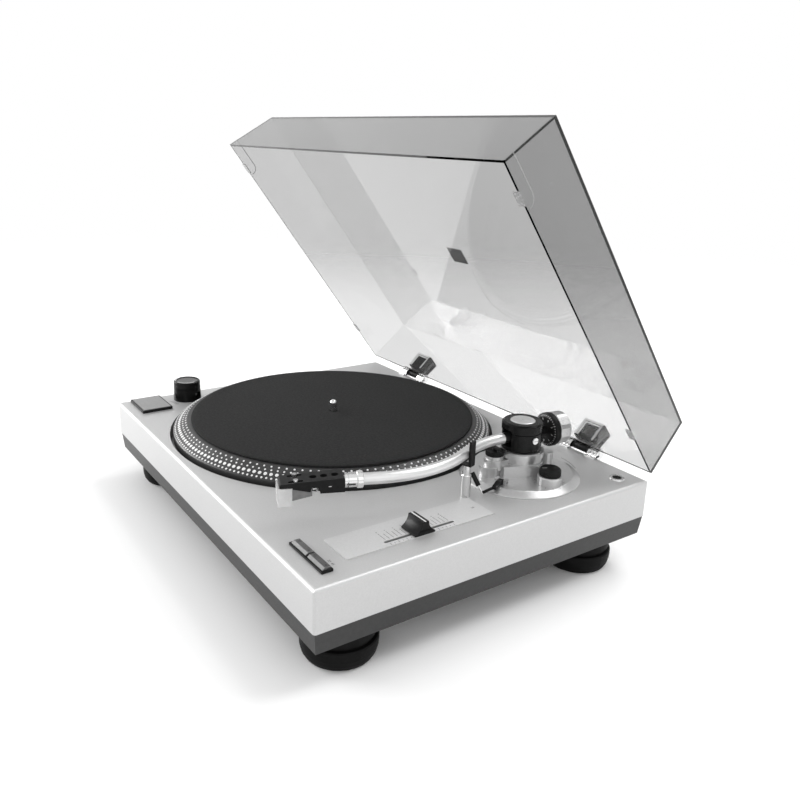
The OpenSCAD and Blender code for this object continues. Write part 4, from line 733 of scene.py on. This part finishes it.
def makeLeads(look):
    (startX, startZ), (endX, endZ) = look["start"], look["end"]
    for i, (y, bow) in enumerate(look["wires"]):
        start = Vector((startX, y * look["startSpread"], startZ))
        end = Vector((endX, y, endZ))
        path = []
        for k in range(look["steps"] + 1):
            t = k / look["steps"]
            p = start.lerp(end, t)
            swell = math.sin(math.pi * t ** look["bowLate"])
            x = p.x + look["ahead"] * swell * (1 - t)
            path.append((x, p.y + bow * swell, p.z - look["sag"] * swell))
        wire = Shapes()
        wire.tube(atShell, path, look["radius"])
        wire.piece("lead_%d" % i, made["wireWhite" if i % 2 else "wireGrey"], "arm", None, True)
        clip = Shapes()
        clip.tube(atShell, [(x, y, endZ) for x in look["clip"]], look["clipRadius"], look["clipSides"])
        clip.piece("lead_clip_%d" % i, made["steel"], "arm", "bright_steel", True)


makeLeads(leadShape)

# Headshell: a pale mark on its side
shellMark = {"spot": (11.5, 9.0, -0.6), "size": (2.2, 0.5), "ink": (-0.02, 0.06)}


def makeShellMark(look):
    mark = Shapes()
    mark.bar(atShell @ shift(*look["spot"]) @ turn(-90, "X"), 0, 0, *look["size"], *look["ink"])
    mark.piece("headshell_mark", made["palePrintAndHighlight"], "arm")


makeShellMark(shellMark)
print("stage: arm dressed")

# Hinges: three-toothed combs on the deck's back edge, rings on the lugs, ridges on the black barrel
hingeShape = {
    "spots": (-141.5, 141.5), "lug": 17, "knuckle": 4.4, "barrel": 4.0,
    # Outlines of the combs, back and up from the deck's middle
    "foot": [(176.6, 0.02), (176.6, 2.2), (172.3, 2.2), (171.6, 1.05), (168.6, 0.7), (168.6, 0.02)],
    "tooth": [(176.8, 0.3), (176.8, 6.4), (174.4, 5.8), (172.3, 3.4), (171.7, 1.15), (169.3, 0.9),
              (168.9, 0.3)],
    "footHalf": 5.8, "toothHalf": 1.5, "toothStep": 4.3,
    # Profiles, over the knuckle or the barrel and along the axis
    "ring": [(-0.3, 0), (0.3, 0.15), (0.45, 0.5), (0.45, 1.9), (0.3, 2.25), (-0.3, 2.4)],
    "ringStart": -1.2, "ringStep": 4.1, "ringSides": 48,
    "ridge": [(-0.2, 0), (0.28, 0.3), (0.28, 1.1), (-0.2, 1.4)],
    "ridges": 6, "ridgeStart": -9.2, "ridgeStep": 3.4, "ridgeSides": 40,
}
acrossDeck = turn(90, "Z") @ turn(90, "X")   # outline in y and z, drawn out along x


def makeHinges(look):
    combs = Shapes()
    ridges = Shapes()
    ring = [(look["knuckle"] + out, along) for out, along in look["ring"]]
    ridge = [(look["barrel"] + out, along) for out, along in look["ridge"]]
    for x in look["spots"]:
        for middle in (x - look["lug"], x + look["lug"]):
            place = atDeck @ shift(middle) @ acrossDeck
            combs.prism(place, look["foot"], -look["footHalf"], look["footHalf"])
            for k in (-1, 0, 1):
                place = atDeck @ shift(middle + look["toothStep"] * k) @ acrossDeck
                combs.prism(place, look["tooth"], -look["toothHalf"], look["toothHalf"])
                start = middle + look["ringStep"] * k + look["ringStart"]
                place = atDeck @ shift(start, *coverOpen["hinge"][1:]) @ turn(90, "Y")
                combs.lathe(place, ring, look["ringSides"])
        for k in range(look["ridges"]):
            place = atCover @ shift(x + look["ridgeStart"] + look["ridgeStep"] * k) @ turn(90, "Y")
            ridges.lathe(place, ridge, look["ridgeSides"])
    combs.piece("hinge_combs", made["chrome"], "chassis", "chrome")
    ridges.piece("hinge_ridges", made["blackSatin"], "cover", "black_plastic", True)


makeHinges(hingeShape)

# Pockets: pale rounded edges and strips on the inner face of the cover's back wall in front of them, all
# painted light on the clear pocket
pocketShape = {
    "wide": 25.0, "back": 6.0, "low": 5.5, "high": 26.0,   # back, low and high from the hinge's axis
    "edge": 0.4, "edgeSides": 8,
    "sideFront": 0.4, "topFront": -1.2,                    # front of the edges, from the wall's outer face
    "plate": (-0.2, 0.15),                                 # a strip's front and back, from the inner face
    # Pale frames and grey sides are painted light on the clear pocket's walls
    "paintedStrips": [  # name, finish, then left, right, low and high edge of each strip
        ("pocket_frame_highlights", "pocketHighlightPale", [(-12.0, -9.6, 5.8, 25.4), (-8.9, -7.2, 5.8, 22.4),
                                         (-9.6, 12.0, 23.2, 25.4), (-7.2, 9.2, 21.0, 22.4)]),
        ("pocket_side_sheen", "paintedLightGrey", [(9.6, 12.0, 5.8, 22.6)]),
    ],
}


def addStrip(paintedStrips, place, plate, x0, x1, z0, z1):
    # Thin plate that follows the lean of the cover's back wall
    points = []
    for out in plate:
        for x, z in ((x0, z0), (x1, z0), (x1, z1), (x0, z1)):
            lean = coverOpen["lean"] * (z + coverOpen["rimDrop"]) / coverOpen["height"]
            points.append((x, out - coverOpen["rimBack"] - coverOpen["wall"] - lean, z))
    faces = [(0, 1, 2, 3), (7, 6, 5, 4), (0, 4, 5, 1), (1, 5, 6, 2), (2, 6, 7, 3), (3, 7, 4, 0)]
    paintedStrips.add(place, points, faces)


def makePockets(look):
    half, back, low, high = look["wide"] / 2, look["back"], look["low"], look["high"]
    sideFront = look["sideFront"] - coverOpen["rimBack"]
    topFront = look["topFront"] - coverOpen["rimBack"]
    paths = [[(x, sideFront, high), (x, back, high), (x, back, low)] for x in (-half, half)]
    paths += [[(-half, y, high), (half, y, high)] for y in (back, topFront)]
    # Painted highlights: pale beads along the pocket's edges
    edges = Shapes()
    for x in hingeShape["spots"]:
        for path in paths:
            edges.tube(atCover @ shift(x), path, look["edge"], look["edgeSides"])
    edges.piece("pocket_edge_highlights", made["palePrintAndHighlight"], "cover", "clear_plastic", True)
    for name, finish, spans in look["paintedStrips"]:
        paintedStrips = Shapes()
        for x in hingeShape["spots"]:
            for span in spans:
                addStrip(paintedStrips, atCover @ shift(x), look["plate"], *span)
        paintedStrips.piece(name, made[finish], "cover", "clear_plastic")


makePockets(pocketShape)

# Finger grips: fine pale beads on both side walls near the front of the cover, painted highlights along
# the grip recess's edge
gripShape = {
    "line": [(-169.6, 9.4), (-158.5, 9.9), (-146, 10), (-135.5, 10.1), (-132, 9.4), (-129.6, 7.6),
             (-128.4, 5.2), (-128.1, 2.2)],   # from the cover's middle and over its rim
    "radius": 0.28, "sides": 8, "out": 0.05,
}


def makeGrips(look):
    highlightBeads = Shapes()
    for side in (-1, 1):
        path = []
        for y, z in look["line"]:
            half = coverOpen["width"] / 2 - coverOpen["lean"] * z / coverOpen["height"]
            path.append((side * (half + look["out"]), y, z))
        highlightBeads.tube(atRim, path, look["radius"], look["sides"])
    highlightBeads.piece("grip_edge_highlights", made["paintedLightGrey"], "cover", "clear_plastic", True)


makeGrips(gripShape)

# Bare badge plate on the cover's top
badgeShape = {"centre": (3.3, 0.8), "size": (22.4, 18.6), "span": (0.02, 1.0), "soft": 0.4}


def makeBadge(look):
    place = atRim @ shift(*look["centre"], coverOpen["height"])
    shapes = Shapes()
    shapes.bar(place, 0, 0, *look["size"], *look["span"], look["soft"])
    shapes.piece("cover_badge", made["capGrey"], "cover", "dark_grey")


makeBadge(badgeShape)

# Rings in the phono sockets
socketRing = {"inwards": 6, "sides": 40,
              "profile": [(1.7, -0.15), (3.3, -0.15), (3.45, 0.0), (3.3, 0.3), (1.7, 0.3)]}


def makeSocketRings(look):
    low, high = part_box("phono_sockets")
    height = (low.z + high.z) / 2
    inwards = look["inwards"] * mm
    for x, colour in ((low.x + inwards, "red"), (high.x - inwards, "white")):
        place = Matrix.Translation((x, high.y, height)) @ turn(90, "X")
        ring = Shapes()
        ring.lathe(place, look["profile"], look["sides"])
        ring.piece("socket_ring_" + colour, made[colour + "Plastic"], "chassis")


makeSocketRings(socketRing)
print("stage: hinges, badge and sockets dressed")

# Pieces of one node in another finish, picked by where their faces lie; on the hinge leaf the lighter grey
# is painted haze, not a finish
leverShape = {
    "start": (40, 0, 6.8), "heading": -66,               # out from the arm's pivot, degrees
    "neck": (22, -8, -4.4), "grip": (20.2, -19.4, 11),   # both ends of the rod's line
    "span": (-0.1, 0.37), "reach": 0.95,                 # the thin stretch of it, and its reach
}
atLever = Matrix.Translation(pivotCentre) @ turn(leverShape["heading"], "Z") @ shift(*leverShape["start"])
# Limits along the arm from its pivot, and over the hinge's axis for the leaf
finishLimits = {"stubEnd": 21.5, "weightFront": -34.2, "leafRoot": 5.2}


def refinish(node, frameMatrix, material, chosen):
    mesh = nodes[node].data
    mesh.materials.append(material)
    back = frameMatrix.inverted()
    for polygon in mesh.polygons:
        if chosen((back @ polygon.center) / mm):
            polygon.material_index = len(mesh.materials) - 1


def onThinRod(spot):
    start = Vector(leverShape["neck"])
    run = Vector(leverShape["grip"]) - start
    along = (spot - start).dot(run) / run.length_squared
    away = (spot - start - along * run).length
    return leverShape["span"][0] < along < leverShape["span"][1] and away < leverShape["reach"]


refinish("cue_lever", atLever, made["chrome"], onThinRod)
refinish("arm_tube", atStub, made["blackSatin"], lambda spot: spot.x < finishLimits["stubEnd"])
# The black leaf's upper part is painted lighter grey for the haze of light on the clear pocket in front of
# it
refinish("hinge_leaves", atCover, made["leafPaintedHaze"], lambda spot: spot.z > finishLimits["leafRoot"])
refinish("counterweight", atStub, made["blackSatin"], lambda spot: spot.x > finishLimits["weightFront"])

# Fine rounded edges on boxy pieces
softEdges = {"start_bezel": 0.3, "start_button": 0.3, "speed_bezel": 0.25, "speed_button_33": 0.25,
             "speed_button_45": 0.25, "pitch_fader": 0.35, "rest_clip": 0.3, "headshell": 0.25,
             "cartridge": 0.3, "hinge_leaves": 0.3, "hinge_brackets": 0.3, "socket_plate": 0.3,
             "mains_inlet": 0.3, "lifter": 0.2, "line_switch": 0.2, "usb_socket": 0.15}
edgeLook = {"weld": 0.01, "segments": 2, "angle": 40}


def softenEdges(look):
    for node, width in softEdges.items():
        weld = nodes[node].modifiers.new("weld", "WELD")
        weld.merge_threshold = look["weld"] * mm
        bevel = nodes[node].modifiers.new("soft edges", "BEVEL")
        bevel.width = width * mm
        bevel.segments = look["segments"]
        bevel.limit_method = "ANGLE"
        bevel.angle_limit = math.radians(look["angle"])
        bevel.use_clamp_overlap = True


softenEdges(edgeLook)
print("stage: edges softened")

# Floor, light and camera
floorLook = {"level": 0.97, "rough": 0.9, "shine": 0.1, "radius": 4.0, "sides": 96,
             "fade": (0.8, 2.4)}   # where the floor starts to fade and where it is gone


def makeFloor(look):
    material, tree, shader = newMaterial("floor")
    setInputs(shader, {"Base Color": grey(look["level"]), "Roughness": look["rough"],
                       "Specular IOR Level": look["shine"]})
    place = tree.nodes.new("ShaderNodeTexCoord")
    length = tree.nodes.new("ShaderNodeVectorMath")
    length.operation = "LENGTH"
    tree.links.new(place.outputs["Object"], length.inputs[0])
    fade = tree.nodes.new("ShaderNodeMapRange")
    fade.interpolation_type = "SMOOTHSTEP"
    setInputs(fade, {"From Min": look["fade"][0], "From Max": look["fade"][1],
                     "To Min": 1.0, "To Max": 0.0})
    tree.links.new(length.outputs["Value"], fade.inputs["Value"])
    tree.links.new(fade.outputs["Result"], shader.inputs["Alpha"])
    radius, sides = look["radius"], look["sides"]
    angles = [2 * math.pi * i / sides for i in range(sides)]
    points = [(0, 0, 0)] + [(radius * math.cos(a), radius * math.sin(a), 0) for a in angles]
    faces = [(0, 1 + i, 1 + (i + 1) % sides) for i in range(sides)]
    mesh = bpy.data.meshes.new("floor")
    mesh.from_pydata(points, [], faces)
    mesh.materials.append(material)
    floor = bpy.data.objects.new("floor", mesh)
    bpy.context.scene.collection.objects.link(floor)


makeFloor(floorLook)

worldLook = {"seen": 1.0, "fill": 0.76}


def makeWorld(look):
    world = bpy.data.worlds.new("studio")
    bpy.context.scene.world = world
    world.use_nodes = True
    tree = world.node_tree
    shade = tree.nodes["Background"]
    shade.inputs["Color"].default_value = grey(1.0)
    path = tree.nodes.new("ShaderNodeLightPath")
    seen = tree.nodes.new("ShaderNodeMath")
    seen.operation = "MAXIMUM"
    both = tree.nodes.new("ShaderNodeMath")
    both.operation = "MAXIMUM"
    tree.links.new(path.outputs["Is Camera Ray"], seen.inputs[0])
    tree.links.new(path.outputs["Is Glossy Ray"], seen.inputs[1])
    tree.links.new(seen.outputs["Value"], both.inputs[0])
    tree.links.new(path.outputs["Is Transmission Ray"], both.inputs[1])
    level = tree.nodes.new("ShaderNodeMapRange")
    setInputs(level, {"To Min": look["fill"], "To Max": look["seen"]})
    tree.links.new(both.outputs["Value"], level.inputs["Value"])
    tree.links.new(level.outputs["Result"], shade.inputs["Strength"])


makeWorld(worldLook)

lamps = {  # place, aim, width, height, watts
    "key": ((-2.15, -1.55, 0.95), (0, 0, 0.15), 1.7, 1.6, 43),
    "right": ((2.2, -0.3, 1.3), (0, 0, 0.1), 1.5, 1.4, 4),
    "top": ((0.3, 1.25, 2.1), (0, 0, 0.1), 1.8, 1.2, 40),
    "low": ((-2.0, -1.35, 0.38), (0, -0.1, 0.05), 1.6, 0.6, 14),
}


def makeLamps():
    for name, (place, aim, width, height, watts) in lamps.items():
        data = bpy.data.lights.new(name, "AREA")
        data.shape = "RECTANGLE"
        data.size = width
        data.size_y = height
        data.energy = watts
        lamp = bpy.data.objects.new(name, data)
        bpy.context.scene.collection.objects.link(lamp)
        lamp.location = place
        lamp.rotation_mode = "QUATERNION"
        lamp.rotation_quaternion = (Vector(aim) - Vector(place)).to_track_quat("-Z", "Y")


makeLamps()

cameraLook = {"place": (0.63316, -0.42367, 0.3810), "azimuth": 55.85, "elevation": 16.57, "roll": 1.47,
              "lens": 35.48, "sensor": 36, "shift": (0.0254, -0.0375), "clip": (0.01, 50)}


def makeCamera(look):
    az, el, roll = (math.radians(look[k]) for k in ("azimuth", "elevation", "roll"))
    back = Vector((math.sin(az) * math.cos(el), -math.cos(az) * math.cos(el), math.sin(el)))
    right = Vector((math.cos(az), math.sin(az), 0))
    up = back.cross(right)
    tiltRight = right * math.cos(roll) + up * math.sin(roll)
    tiltUp = up * math.cos(roll) - right * math.sin(roll)
    data = bpy.data.cameras.new("camera")
    data.lens = look["lens"]
    data.sensor_width = look["sensor"]
    data.shift_x, data.shift_y = look["shift"]
    data.clip_start, data.clip_end = look["clip"]
    camera = bpy.data.objects.new("camera", data)
    bpy.context.scene.collection.objects.link(camera)
    turned = Matrix((tiltRight, tiltUp, back)).transposed().to_4x4()
    camera.matrix_world = Matrix.Translation(look["place"]) @ turned
    bpy.context.scene.camera = camera


makeCamera(cameraLook)
bpy.context.scene.view_settings.view_transform = "Standard"
print("stage: studio ready")
